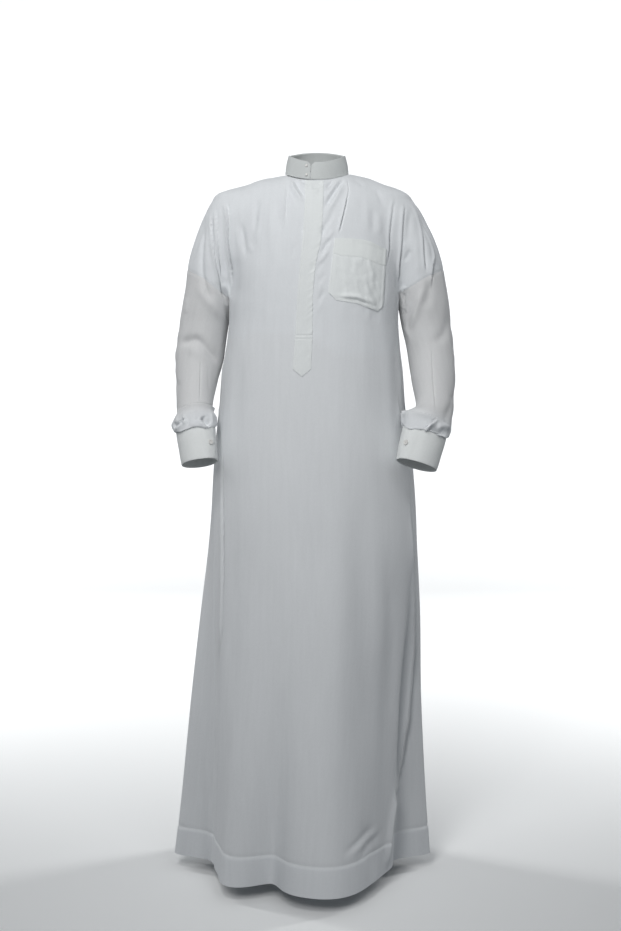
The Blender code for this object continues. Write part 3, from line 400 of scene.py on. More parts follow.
BACK_CREASES = creases(
    Seen.BACK,
    (TROUGH, 10, 2.2, (-60, -20, -72, -80, -78, -140)),
    (RIDGE, 8, 1.6, (-30, -16, -38, -70, -40, -120)),
    (TROUGH, 9, 2, (56, -20, 66, -70, 74, -130)),
    (TROUGH, 11, 2.2, (12, -30, 14, -90, 10, -170)),
    (TUCK, 9, 3.2, (-176, -60, -168, -140, -162, -230), 0.3),
    (TUCK, 9, 3, (170, -60, 164, -150, 160, -236), 0.3),
    (TROUGH, 10, 2.4, (-200, -90, -196, -150, -186, -226)),
    (TROUGH, 10, 2.4, (196, -90, 192, -160, 182, -232)),
    (RIDGE, 9, 2.2, (-150, -210, -126, -268, -90, -318)),
    (TROUGH, 10, 2.4, (-140, -236, -112, -290, -70, -336)),
    (RIDGE, 9, 2, (148, -216, 120, -262, 80, -300)),
    (TROUGH, 10, 2.2, (138, -242, 106, -284, 62, -316)),
    (TROUGH, 14, 3, (-50, -300, 0, -326, 56, -308)),
    (TROUGH, 18, 3.6, (-110, -340, -112, -520, -100, -760)),
    (TROUGH, 20, 3.8, (98, -330, 106, -500, 96, -780)),
    (RIDGE, 18, 2.6, (-70, -360, -66, -600, -60, -900)),
    (RIDGE, 20, 2.8, (40, -340, 46, -600, 40, -940)),
    (TROUGH, 22, 2.4, (0, -380, -6, -560, -10, -800)),
    (TUCK, 12, 5, (-186, -640, -188, -860, -176, -1080, -150, -1300), 0.25),
    (TUCK, 12, 4.6, (190, -600, 190, -840, 182, -1060, 164, -1280), 0.25),
)

RIGHT_CREASES = creases(
    Seen.RIGHT,
    (TROUGH, 12, 3, (-30, -70, -34, -130, -26, -200)),
    (TROUGH, 11, 2.6, (28, -74, 34, -140, 30, -220)),
    (RIDGE, 10, 1.8, (0, -80, 4, -150, 0, -230)),
    (TROUGH, 14, 1.6, (-40, -322, -6, -338, 44, -326)),
    (TROUGH, 14, 1.5, (-36, -366, 0, -374, 40, -352)),
    (TROUGH, 12, 1.4, (-34, -296, 0, -306, 34, -290)),
    (TROUGH, 8, 2.2, (-70, -420, -34, -414, -4, -396)),
    (RIDGE, 8, 2, (-30, -240, -34, -280)),
)

LEFT_CREASES = creases(
    Seen.LEFT,
    (TROUGH, 12, 3, (-34, -60, -36, -120, -24, -196)),
    (TROUGH, 10, 2.6, (26, -70, 34, -130, 32, -210)),
    (RIDGE, 10, 1.8, (-4, -70, 2, -140, 4, -216)),
    (TROUGH, 14, 1.5, (-40, -332, -6, -346, 40, -334)),
    (TROUGH, 14, 1.4, (-36, -374, 0, -384, 36, -364)),
    (TROUGH, 12, 1.5, (-36, -284, 0, -300, 34, -296)),
    (TROUGH, 8, 2.2, (-96, -446, -56, -440, -22, -420)),
)

# Sleeves, laid from the front
SLEEVE_CREASES = creases(
    Seen.FRONT,
    # wearer's right
    (TROUGH, 9, 6.2, (-277.7, -336.7, -261.4, -332.2, -238.7, -330, -220, -345.9, -201.2, -365.6, -190,
     -378.8), 0.25),
    (RIDGE, 11, 2.4, (-262, -354, -240, -352, -218, -372)),
    (RIDGE, 10, 2.6, (-243.6, -211.9, -223.2, -241.8, -200.7, -271.7, -180.2, -297.9)),
    (TUCK, 4.5, 1.2, (-231.4, -361.7, -231.3, -406.9, -230.8, -454.1), 0.2),
    (TROUGH, 4, 0.8, (-217.1, -361.7, -215.4, -406.9, -214.5, -437.1), 0.3),
    (TROUGH, 5, 2.2, (-195.5, -211.1, -191.8, -229.9, -178.7, -248.6)),
    (RIDGE, 4.5, 1.8, (-188, -216.7, -178.6, -229.9, -173.1, -248.6)),
    (TROUGH, 6, 2.4, (-186.3, -256.1, -180.7, -271.1, -178.1, -286.2, -179.7, -299.3)),
    (TUCK, 7, 5, (-274.7, -473.3, -267.3, -465.9, -252.5, -458.6, -234, -454.9, -215.6, -457.8, -202.7,
     -465.9, -195.4, -477.8), 0.12),
    (TROUGH, 8, 7.5, (-285, -498.5, -273, -491.5, -259, -484), 0.15),
    (TROUGH, 7, 7.5, (-222.5, -479, -216.5, -488, -208, -496), 0.15),
    (TUCK, 5, 4, (-256, -481.5, -270, -488.5, -285, -494.5), 0.2),
    (TUCK, 5, 3, (-208, -496, -215, -487, -220.5, -478), 0.2),
    (RIDGE, 5, 4, (-283, -508.5, -267.2, -497.5, -249.2, -484), 0.2),
    (RIDGE, 5, 4, (-234.1, -483.5, -217.2, -499.5, -203, -514), 0.2),
    (RIDGE, 6, 2, (-240.5, -465.7, -240, -480.4, -240.5, -502.5), 0.2),
    # wearer's left
    (TROUGH, 10, 3.4, (260, -250, 259, -286.7, 254, -313, 244.1, -326, 230.9, -333.5, 218, -350), 0.5),
    (RIDGE, 10, 2.2, (217.9, -211.1, 206.8, -241.1, 195.6, -278.7, 190.1, -308.7)),
    (TUCK, 4.5, 1.2, (226.1, -339.2, 226.9, -399.4, 227.8, -476.8), 0.2),
    (TROUGH, 10, 3, (268.4, -448.3, 255.4, -470.9, 244.2, -491.6)),
    (RIDGE, 8, 2.2, (171.2, -297.5, 180.7, -312.5, 186.4, -323.8, 182.8, -346.4)),
    (TROUGH, 4.5, 2.2, (167, -226.1, 172, -248.6, 171, -267.4)),
    (TROUGH, 4.5, 2, (169.1, -267.4, 174.8, -273, 171.1, -280.5)),
    (TUCK, 7, 5, (157.6, -486.3, 161.3, -475.2, 172.3, -470.4, 190.8, -469.6, 213, -474.1, 229.6, -481.4,
     244.5, -489.9, 259.4, -499.9), 0.12),
    (TUCK, 5, 5, (201, -508.2, 215, -494, 231.5, -482.6)),
    (TROUGH, 6, 6.5, (251.1, -506.2, 238, -509.9, 223.3, -506.2, 212.2, -501.8), 0.2),
    (RIDGE, 5, 3, (225.2, -488.6, 212.2, -498.8, 206.6, -507.2), 0.2),
    (RIDGE, 6, 4, (258.4, -502.5, 243.5, -498.8, 230.6, -497), 0.2),
    (RIDGE, 3, 2.5, (230.7, -509.9, 236.2, -516.5, 238.9, -524.6), 0.2),
    (RIDGE, 3, 2.5, (219.6, -506.2, 223.3, -514.3, 225.2, -520.9), 0.2),
    (TROUGH, 3, 2.5, (225, -508, 229.6, -515, 231.8, -522.8), 0.2),
)

# Pleats and gathers above each cuff, by angle round the sleeve: 0 outside, 90 in front, 180 inside
GATHERS = {
    Side.RIGHT: table(
        Gather,
        (40, 0.024, 4.5, 2.2), (146, 0.022, 4, 2), (172, 0.026, 6, -3),
        (204, 0.03, 7, -3.6), (236, 0.024, 6, -3), (268, 0.032, 7.5, -3.8),
        (302, 0.026, 6, -3.2), (330, 0.03, 7, -3.6), (8, 0.024, 6, -3),
        (75, 0.012, 3, -1.4), (104, 0.012, 3, -1.4), (222, 0.016, 3.5, 1.8),
        (286, 0.016, 3.5, 1.8), (348, 0.016, 3.5, 1.6),
    ),
    Side.LEFT: table(
        Gather,
        (134, 0.02, 4.5, 2), (156, 0.026, 6, -3.2),
        (188, 0.03, 7, -3.4), (218, 0.024, 6, -3), (250, 0.032, 7.5, -3.8),
        (284, 0.028, 6.5, -3.2), (312, 0.028, 6, -3.2), (340, 0.024, 6, -2.6),
        (12, 0.018, 3, 2, -10), (38, 0.012, 2.6, 1.4), (202, 0.016, 3.5, 1.8),
        (268, 0.016, 3.5, 1.6),
    ),
}


# ---- small maths

def ease(share: Array | float) -> Array:
    """Smooth step from 0 to 1."""
    share = np.clip(share, 0.0, 1.0)
    return share * share * (3 - 2 * share)


def unit(vectors: Array) -> Array:
    """Vectors of length 1 along the last axis."""
    return vectors / np.maximum(np.linalg.norm(vectors, axis=-1, keepdims=True), TINY)


def bell(value: Array | float, middle: float, spread: float) -> Array:
    """Bell curve of height 1 round its middle."""
    return np.exp(-(((value - middle) / spread) ** 2))


def nearest(values: Array, wanted: float) -> int:
    """Index of the value closest to the one wanted."""
    return int(np.abs(values - wanted).argmin())


def noise_at(points: Array, scale: float) -> Array:
    """Smooth noise at points in space: the larger the scale, the closer its waves."""
    values = [noise.noise(point) for point in (points.reshape(-1, 3) * scale).tolist()]
    return np.array(values).reshape(points.shape[:-1])


def noise_grid(across: Array, down: Array, place: Callable[[float, float], tuple]) -> Array:
    """Smooth noise over a grid.

    Args:
        across: the columns' shares of the width.
        down: the rows' shares of the height.
        place: where in the noise a column's and a row's share fall.

    Returns:
        The noise, by row and column.
    """
    return np.array([[noise.noise(place(c, d)) for c in across.ravel()] for d in down.ravel()])


def smooth_curve(places: Sequence[float], values: Sequence[float], at: Array | float) -> Array:
    """Read a monotone cubic curve.

    Args:
        places: where the values stand, rising.
        values: the curve's values there.
        at: where to read it.

    Returns:
        The curve at those places, held level past its ends.
    """
    places, values, at = np.asarray(places, float), np.asarray(values, float), np.asarray(at, float)
    steps = np.diff(places)
    rises = np.diff(values) / steps
    slopes = np.empty(len(places))
    slopes[0], slopes[-1] = rises[0], rises[-1]
    before, after = rises[:-1], rises[1:]
    total = np.where(before + after == 0, 1.0, before + after)
    slopes[1:-1] = np.where(before * after > 0, 2 * before * after / total, 0.0)
    cell = np.clip(np.searchsorted(places, at) - 1, 0, len(steps) - 1)
    step = steps[cell]
    part = np.clip((at - places[cell]) / step, 0.0, 1.0)
    return (
        values[cell] * (1 + 2 * part) * (1 - part) ** 2
        + values[cell + 1] * part**2 * (3 - 2 * part)
        + step * (slopes[cell] * part * (1 - part) ** 2 + slopes[cell + 1] * part**2 * (part - 1))
    )


def column(rows: Sequence, name: str, at: Array | float) -> Array:
    """A named column of a table read at the given heights."""
    rows = sorted(rows, key=lambda row: row.height)
    return smooth_curve([row.height for row in rows], [getattr(row, name) for row in rows], at)


def pairs(table: Sequence[tuple[float, float]], at: Array | float) -> Array:
    """A two-column table read as a curve of its second column over its first."""
    return smooth_curve([row[0] for row in table], [row[1] for row in table], at)


def run_along(line: Array) -> Array:
    """Distance along a line of points at each point."""
    return np.concatenate([[0.0], np.cumsum(np.linalg.norm(np.diff(line, axis=0), axis=1))])


def even_points(line: Array, count: int) -> Array:
    """count + 1 points at even distances along a line of points.

    Args:
        line: the points of the line.
        count: how many steps.

    Returns:
        The points, ends included.
    """
    line = np.asarray(line, float)
    run = run_along(line)
    wanted = np.linspace(0.0, run[-1], count + 1)
    return np.stack([np.interp(wanted, run, line[:, axis]) for axis in range(3)], axis=1)


def spline(points: Array, places: Array) -> Array:
    """Read a Catmull-Rom spline through points.

    Args:
        points: the points, along the first axis.
        places: where to read it, in steps from the first point.

    Returns:
        The points at those places.
    """
    points = np.asarray(points, float)
    padded = np.concatenate([[2 * points[0] - points[1]], points, [2 * points[-1] - points[-2]]])
    cell = np.clip(np.floor(places).astype(int), 0, len(points) - 2)
    part = (np.asarray(places, float) - cell).reshape((-1,) + (1,) * (points.ndim - 1))
    first, second, third, fourth = (padded[cell + step] for step in range(4))
    return 0.5 * (
        2 * second
        + (third - first) * part
        + (2 * first - 5 * second + 4 * third - fourth) * part**2
        + (3 * second - first - 3 * third + fourth) * part**3
    )


# ---- the robe's form

@dataclass
class RobeForm:
    """The outline of the worn robe: the body's rings and folds and both sleeves, joined at the armpits."""

    rings: Sequence[Ring] = BODY_RINGS
    arms: dict = field(default_factory=lambda: ARMS)
    folds: Sequence[Fold] = SKIRT_FOLDS
    shoulder_cap: float = 0.0225
    armpit_softness: float = 0.028
    cleft_softness: float = 0.003
    cleft_height: float = -0.27
    cleft_fade: float = 0.12
    feeler: float = 1e-4
    longest_move: float = 0.02
    least_slope: float = 0.05

    def fold_swell(self, angle: Array, height: Array) -> Array:
        """How far the skirt's folds push the cloth out at an angle in degrees and a height.

        Args:
            angle: degrees round the body.
            height: the level.

        Returns:
            The distance outwards.
        """
        swell = np.zeros(np.broadcast(angle, height).shape)
        for fold in self.folds:
            fall = (fold.top - height) / (fold.top - HEM_HEIGHT)
            middle = fold.angle_at_top + (fold.angle_at_hem - fold.angle_at_top) * np.clip(fall, 0, 1)
            if fold.fullest > HEM_HEIGHT:
                rise = ease((fold.top - height) / (fold.top - fold.fullest)) ** 1.2
                fade = ease((fold.fullest - height) / (fold.fullest - HEM_HEIGHT))
                rise = rise * (1 + (fold.share_at_hem - 1) * fade)
            else:
                rise = np.clip(fall, 0, 1) ** 1.25
            away = (angle - middle + 180) % 360 - 180
            swell = swell + fold.swell * rise * bell(away, 0, fold.spread)
        return swell

    def body_radius(self, angle: Array, height: Array) -> Array:
        """Distance from the body's middle line to the cloth at an angle in degrees and a height.

        Args:
            angle: degrees round the body.
            height: the level.

        Returns:
            The distance.
        """
        turn = np.radians(angle)
        side = column(self.rings, "half_width", height)
        power = column(self.rings, "squareness", height)
        forward, back = column(self.rings, "forward", height), column(self.rings, "back", height)
        deep = np.where(np.sin(turn) > 0, forward, back)
        plain = (np.abs(np.cos(turn) / side) ** power + np.abs(np.sin(turn) / deep) ** power) ** (-1 / power)
        return plain + self.fold_swell(angle, height)

    def body_point(self, angle: Array | float, height: Array | float) -> Array:
        """Point on the body of the robe at an angle in degrees and a height.

        Args:
            angle: degrees round the body.
            height: the level.

        Returns:
            The point.
        """
        angle, height = np.broadcast_arrays(np.asarray(angle, float), np.asarray(height, float))
        radius = self.body_radius(angle, height)
        turn = np.radians(angle)
        middle = column(self.rings, "centre_x", height)
        return np.stack([middle - radius * np.cos(turn), -radius * np.sin(turn), height], axis=-1)

    def body_field(self, points: Array) -> Array:
        """Signed distance, roughly, from the body's cloth: negative inside.

        Args:
            points: where to read it.

        Returns:
            The distances.
        """
        across = points[..., 0] - column(self.rings, "centre_x", points[..., 2])
        angle = np.degrees(np.arctan2(-points[..., 1], -across)) % 360
        return np.hypot(across, points[..., 1]) - self.body_radius(angle, points[..., 2])

    def arm_field(self, points: Array, side: Side) -> Array:
        """Signed distance, roughly, from an upper sleeve: level ellipses under a round shoulder.

        Args:
            points: where to read it.
            side: the sleeve's side.

        Returns:
            The distances.
        """
        stations = self.arms[side]
        top = stations[0].height
        height = np.minimum(points[..., 2], top)
        half_width = column(stations, "half_width", height)
        half_depth = column(stations, "half_depth", height)
        across = (points[..., 0] * side.value - column(stations, "outwards", height)) / half_width
        along = (-points[..., 1] - column(stations, "forward", height)) / half_depth
        above = np.maximum(points[..., 2] - top, 0.0) / self.shoulder_cap
        return (np.sqrt(across**2 + along**2 + above**2) - 1) * np.minimum(half_width, half_depth)

    def robe_field(self, points: Array) -> Array:
        """The body and both sleeves as one form: the cloth bridges the armpits above and parts below.

        Args:
            points: where to read it.

        Returns:
            The distances, negative inside.
        """
        rise = ease((points[..., 2] - self.cleft_height) / self.cleft_fade)
        reach = self.cleft_softness + self.armpit_softness * rise
        joined = self.body_field(points)
        for side in Side:
            arm = self.arm_field(points, side)
            overlap = np.maximum(reach - np.abs(joined - arm), 0.0) / reach
            joined = np.minimum(joined, arm) - overlap**2 * reach / 4
        return joined

    def settle(self, points: Array, rounds: int = 7) -> Array:
        """Move points along the field's slope until they lie on the robe's form.

        Args:
            points: where they start.
            rounds: how many moves.

        Returns:
            The points on the form.
        """
        points = np.array(points, float)
        steps = self.feeler * np.eye(3)
        for _ in range(rounds):
            here = self.robe_field(points)
            slope = np.stack([(self.robe_field(points + step) - here) / self.feeler for step in steps], -1)
            steepness = np.maximum((slope**2).sum(axis=-1), self.least_slope)
            move = slope * (here / steepness)[..., None]
            size = np.linalg.norm(move, axis=-1, keepdims=True)
            points = points - move * np.minimum(1.0, self.longest_move / np.maximum(size, TINY))
        return points

    def sleeve_run(self, side: Side) -> Array:
        """Distance of each station along the middle line of a sleeve."""
        return run_along(np.array([(row.outwards, row.forward, row.height) for row in self.arms[side]]))

    def sleeve_marks(self, side: Side) -> Array:
        """Places of the stations along a sleeve, as shares of its length."""
        run = self.sleeve_run(side)
        return run / run[-1]

    def section_point(self, side: Side, place: Array | float, angle: Array | float) -> Array:
        """Point of a sleeve at a place along it (0 shoulder, 1 cuff) and an angle (0 outside, 90 front).

        Args:
            side: the sleeve's side.
            place: 0 at the shoulder, 1 at the cuff.
            angle: 0 outside, 90 in front.

        Returns:
            The point.
        """
        marks = self.sleeve_marks(side)
        part = {
            name: smooth_curve(marks, [getattr(row, name) for row in self.arms[side]], place)
            for name in Station.__dataclass_fields__
        }
        turn, pitch, roll = np.radians(angle), np.radians(part["pitch"]), np.radians(part["roll"])
        wide, deep = part["half_width"] * np.cos(turn), part["half_depth"] * np.sin(turn)
        x = side.value * (part["outwards"] + wide * np.cos(roll))
        y = -(part["forward"] + deep * np.cos(pitch))
        z = part["height"] + deep * np.sin(pitch) - wide * np.sin(roll)
        return np.stack(np.broadcast_arrays(x, y, z), axis=-1)

    def cuff_axis(self, side: Side) -> Array:
        """Direction of a cuff, down its sleeve.

        Args:
            side: the sleeve's side.

        Returns:
            The direction, of length 1.
        """
        last = self.arms[side][-1]
        pitch, roll = math.radians(last.pitch), math.radians(last.roll)
        return np.array([-side.value * math.sin(roll), -math.sin(pitch) * math.cos(roll),
                         -math.cos(pitch) * math.cos(roll)])


# ---- the cut

@dataclass
class Cut:
    """Grids of outer points for the panels and sleeves, whose seams share their points."""

    form: RobeForm
    neck_half_width: float = 0.0636
    neck_forward: float = 0.068
    neck_back: float = 0.064
    neck_heights: tuple[float, float, float] = (-0.018, 0.002, 0.018)
    coarse_shoulder: int = 9
    coarse_yoke: int = 10
    coarse_neck: int = 10
    fine_shoulder: int = 84
    fine_neck: int = 130
    fine_yoke: int = 84
    fine_underarm: int = 32
    fine_skirt: int = 50
    fine_above_hem: int = 12
    above_hem: float = -1.258
    fine_sleeve: int = 200
    side_share: float = 0.33
    yoke_bulge: float = 0.055
    wrist_sag: float = 0.007
    sag_height: float = 0.045
    overhang: float = 0.010
    least_overhang: float = 0.002
    overhang_height: float = 0.012
    overhang_curl: float = 0.0026
    underarm_range: tuple[float, float] = (-0.34, -0.17)
    underarm_reach: float = 0.16

    def __post_init__(self) -> None:
        """Work out the seams that the pieces share."""
        self.shoulder = {side: self.shoulder_line(side) for side in Side}
        self.underarm = {side: self.underarm_line(side) for side in Side}
        self.heights = self.skirt_heights()

    def neck_point(self, angle: Array) -> Array:
        """Point on the neck seam: 0 degrees on the right, 90 in front, 180 on the left, 270 behind.

        Args:
            angle: degrees round the neck.

        Returns:
            The point.
        """
        turn = np.radians(angle)
        front = np.sin(turn) > 0
        front_height, side_height, back_height = self.neck_heights
        lift = np.where(front, front_height, back_height) - side_height
        reach = np.where(front, self.neck_forward, self.neck_back)
        height = side_height + lift * np.abs(np.sin(turn)) ** 1.4
        return np.stack([-self.neck_half_width * np.cos(turn), -reach * np.sin(turn), height], axis=-1)

    def shoulder_line(self, side: Side) -> Array:
        """The shoulder seam, from the neck to the top of the sleeve seam, as a dense line.

        Args:
            side: the shoulder's side.

        Returns:
            Its points, evenly spaced.
        """
        start = np.array([self.neck_half_width * side.value, 0.0, self.neck_heights[1]])
        guide = [start] + [(outwards * side.value, 0.0, height) for outwards, height in SHOULDER_LINE]
        dense = self.form.settle(even_points(guide, 60))
        dense[:, 1] = 0.0
        fade = (1 - np.linspace(0, 1, len(dense))[:, None]) ** 6
        return even_points(dense + (start - dense[0]) * fade, self.coarse_shoulder)

    def side_angle(self, side: Side) -> float:
        """Angle round the body of the middle of a side."""
        return 180.0 if side is Side.LEFT else 0.0

    def underarm_line(self, side: Side) -> Array:
        """The seam over the side panel, midway between the body and the sleeve, from front to back.

        Args:
            side: the underarm's side.

        Returns:
            Its points.
        """
        forward = np.linspace(UNDERARM_HALF_WIDTH, -UNDERARM_HALF_WIDTH, self.fine_underarm + 1)
        turn = np.degrees(np.arctan2(forward, float(column(self.form.rings, "half_width", UNDERARM_HEIGHT))))
        stations = self.form.arms[side]

        def between(height: Array) -> Array:
            """Points midway between the body and the sleeve.

            Args:
                height: a height for each place along the seam.

            Returns:
                The points.
            """
            body = self.form.body_point(self.side_angle(side) - side.value * turn, height)
            share = (forward - column(stations, "forward", height)) / column(stations, "half_depth", height)
            reach = column(stations, "half_width", height) * np.sqrt(1 - share**2)
            inner = column(stations, "outwards", height) - reach
            return np.stack([(body[:, 0] + side.value * inner) / 2, -forward, height], axis=-1)

        low, high = (np.full(len(forward), level) for level in self.underarm_range)
        for _ in range(40):
            middle = (high + low) / 2
            inside = self.form.robe_field(between(middle)) < 0
            high = np.where(inside, middle, high)
            low = np.where(inside, low, middle)
        return between((high + low) / 2)

    def skirt_heights(self) -> Array:
        """Levels of the rows below the underarm: close under the chest, and at the hem's stitching and fold.

        Returns:
            The levels, falling.
        """
        share = np.linspace(0, 1, self.fine_skirt) ** 1.35
        down = UNDERARM_HEIGHT + (self.above_hem - UNDERARM_HEIGHT) * share
        down = np.concatenate([down, np.linspace(self.above_hem, HEM_TOP + 0.006, self.fine_above_hem + 1)[1:]])
        hem = np.linspace(HEM_TOP - 0.008, HEM_HEIGHT + 0.005, 7)
        near = [HEM_TOP + step for step in (0.003, 0.001, -0.001, -0.003)]
        return np.concatenate([down, near, hem, [HEM_HEIGHT + 0.002, HEM_HEIGHT]])

    def panel_angles(self, height: float, face: Face, shoulder: int, neck: int) -> Array:
        """Angles of a panel's columns at one level, even within the three parts of its width.

        Args:
            height: the level.
            face: front or back.
            shoulder: steps in each outer part.
            neck: steps in the middle part.

        Returns:
            The angles in degrees, from the wearer's right.
        """
        seam = float(pairs(SIDE_SEAM, height))
        first, last = (seam, 180 - seam) if face is Face.FRONT else (360 - seam, 180 + seam)
        dense = np.linspace(first, last, 361)
        run = run_along(self.form.body_point(dense, height))
        right = np.linspace(0, self.side_share, shoulder + 1)
        middle = np.linspace(self.side_share, 1 - self.side_share, neck + 1)[1:-1]
        return np.interp(np.concatenate([right, middle, 1 - right[::-1]]), run / run[-1], dense)

    def underarm_fade(self, height: float) -> float:
        """How much of the underarm's own shape is left at a height below it."""
        return float(ease(1 - (UNDERARM_HEIGHT - height) / self.underarm_reach)) ** 2

    def panel_bottom(self, face: Face, shoulder: int, neck: int) -> tuple[Array, Array]:
        """The level line at the underarm, drawn to the underarm's corners, and how far it was drawn.

        Args:
            face: front or back.
            shoulder: steps in each outer part.
            neck: steps in the middle part.

        Returns:
            The line, and how far each of its points was drawn.
        """
        corner = 0 if face is Face.FRONT else -1
        angles = self.panel_angles(UNDERARM_HEIGHT, face, shoulder, neck)
        plain = self.form.body_point(angles, UNDERARM_HEIGHT)
        place = np.linspace(0, 1, len(angles))[:, None]
        right = (self.underarm[Side.RIGHT][corner] - plain[0]) * (1 - place) ** 5
        left = (self.underarm[Side.LEFT][corner] - plain[-1]) * place**5
        return plain + right + left, right + left

    def coarse_yoke_grid(self, face: Face) -> Array:
        """Even grid of the upper panel, from the shoulders and neck to the underarm.

        Args:
            face: front or back.

        Returns:
            The grid.
        """
        turn = np.linspace(0, 180, self.coarse_neck + 1)
        if face is Face.BACK:
            turn = 360 - turn
        right, left = self.shoulder[Side.RIGHT], self.shoulder[Side.LEFT]
        top = np.concatenate([right[::-1][:-1], self.neck_point(turn), left[1:]])
        bottom, _ = self.panel_bottom(face, self.coarse_shoulder, self.coarse_neck)
        outward = np.array([0.0, -1.0 if face is Face.FRONT else 1.0, 0.0])
        share = np.linspace(0, 1, 41)[:, None, None]
        guide = top * (1 - share) + bottom * share + self.yoke_bulge * np.sin(np.pi * share) * outward
        dense = self.form.settle(guide)
        dense = dense + (top - dense[0]) * (1 - share) ** 6 + (bottom - dense[-1]) * share**6
        yoke = np.stack([even_points(line, self.coarse_yoke) for line in dense.swapaxes(0, 1)], axis=1)
        yoke[0], yoke[-1] = top, bottom
        for _ in range(12):
            around = yoke[:-2, 1:-1] + yoke[2:, 1:-1] + yoke[1:-1, :-2] + yoke[1:-1, 2:]
            yoke[1:-1, 1:-1] = self.form.settle(around / 4, 2)
        return yoke

    def panel(self, face: Face) -> Array:
        """Fine grid of the front or back panel: rows from the shoulder down, columns from right to left.

        Args:
            face: front or back.

        Returns:
            The grid.
        """
        coarse = self.coarse_yoke_grid(face)
        rows = spline(coarse, np.linspace(0, self.coarse_yoke, self.fine_yoke + 1))
        neck_start = self.coarse_shoulder
        neck_end = neck_start + self.coarse_neck
        parts = []
        for first, last, count in (
            (0, neck_start, self.fine_shoulder),
            (neck_start, neck_end, self.fine_neck),
            (neck_end, coarse.shape[1] - 1, self.fine_shoulder),
        ):
            stretch = rows[:, first : last + 1].swapaxes(0, 1)
            parts.append(spline(stretch, np.linspace(0, last - first, count + 1)).swapaxes(0, 1))
        yoke = np.concatenate([parts[0][:, :-1], parts[1][:, :-1], parts[2]], axis=1)
        bottom, pulled = self.panel_bottom(face, self.fine_shoulder, self.fine_neck)
        drop = np.linspace(0, 1, self.fine_yoke + 1)[:, None, None]
        held = (1 - drop[1:]) ** 30
        yoke[1:, 1:-1] = self.form.settle(yoke[1:, 1:-1], 3) * (1 - held) + yoke[1:, 1:-1] * held
        yoke = yoke + (bottom - yoke[-1]) * drop**4
        rows = [yoke]
        for height in self.heights[1:]:
            angles = self.panel_angles(height, face, self.fine_shoulder, self.fine_neck)
            rows.append((self.form.body_point(angles, height) + pulled * self.underarm_fade(height))[None])
        return np.concatenate(rows)

    def side_panel(self, side: Side) -> Array:
        """Fine grid of a side panel: rows from the underarm to the hem, columns from front to back.

        Args:
            side: the panel's side.

        Returns:
            The grid.
        """
        share = np.linspace(1, -1, self.fine_underarm + 1)

        def level(height: float) -> Array:
            """The panel's row on the plain body at a height."""
            seam = float(pairs(SIDE_SEAM, height))
            return self.form.body_point(self.side_angle(side) - side.value * seam * share, height)

        top = self.underarm[side]
        left_over = top - level(UNDERARM_HEIGHT)
        rows = [level(height) + left_over * self.underarm_fade(height) for height in self.heights[1:]]
        return np.stack([top, *rows])

    def sleeve(self, front: Array, back: Array, side: Side) -> Array:
        """Fine grid of a sleeve: rows from its seam to the cuff, columns once round from the shoulder.

        Args:
            front: the front panel's grid.
            back: the back panel's grid.
            side: the sleeve's side.

        Returns:
            The grid.
        """
        edge = -1 if side is Side.LEFT else 0
        stations = self.form.arms[side]
        yoke = self.fine_yoke + 1
        seam = np.concatenate([front[:yoke, edge], self.underarm[side][1:-1], back[:yoke, edge][::-1][:-1]])
        heights = [row.height for row in stations]
        start = smooth_curve(heights[::-1], self.form.sleeve_marks(side)[::-1], seam[:, 2])
        centre = (self.form.section_point(side, start, 0.0) + self.form.section_point(side, start, 180.0)) / 2
        angle = np.degrees(
            np.arctan2(
                -(seam[:, 1] - centre[:, 1]) / column(stations, "half_depth", seam[:, 2]),
                side.value * (seam[:, 0] - centre[:, 0]) / column(stations, "half_width", seam[:, 2]),
            )
        )
        angle = np.unwrap(angle, period=360)
        even = np.linspace(0, 360, len(seam) + 1)[:-1]
        angle = angle - 360 * round((angle - even).mean() / 360)
        left_over = seam - self.form.section_point(side, start, angle)
        rows = []
        for share in np.linspace(0, 1, self.fine_sleeve + 1):
            place = start + (1 - start) * (1 - (1 - share) ** 1.25)
            turned = angle + (even - angle) * float(ease(share / 0.7))
            rows.append(self.form.section_point(side, place, turned) + left_over * (1 - share) ** 5)
        return self.hang_over(np.stack(rows), side)

    def hang_over(self, rows: Array, side: Side) -> Array:
        """Lower the front of a sleeve's end, and let its fullness hang over the cuff, unevenly.

        Args:
            rows: the sleeve's grid.
            side: its side.

        Returns:
            The grid with its end shaped.
        """
        down = self.form.cuff_axis(side)
        outward = rows - rows.mean(axis=1, keepdims=True)
        outward = unit(outward - (outward @ down)[..., None] * down)
        front = ease((0.1 - outward[-1, :, 1]) / 0.9)
        uneven = noise_at(outward[-1], 2.6)
        above = np.linalg.norm(rows - rows[-1], axis=-1)
        roll, curl = above / self.overhang_height, above / (0.5 * self.overhang_height)
        middle = bell(outward[-1, :, 0], 0.1, 0.5)
        fullness = self.least_overhang + self.overhang * front * (1 - 0.65 * middle)
        over = fullness * (1 + 0.5 * uneven) * roll * np.exp(1 - roll)
        lowered = self.wrist_sag * front * ease(1 - above / self.sag_height) + over
        curled = self.overhang_curl * curl * np.exp(1 - curl)
        return rows + down * lowered[..., None] + outward * curled[..., None]


# ---- cloth as grids of points

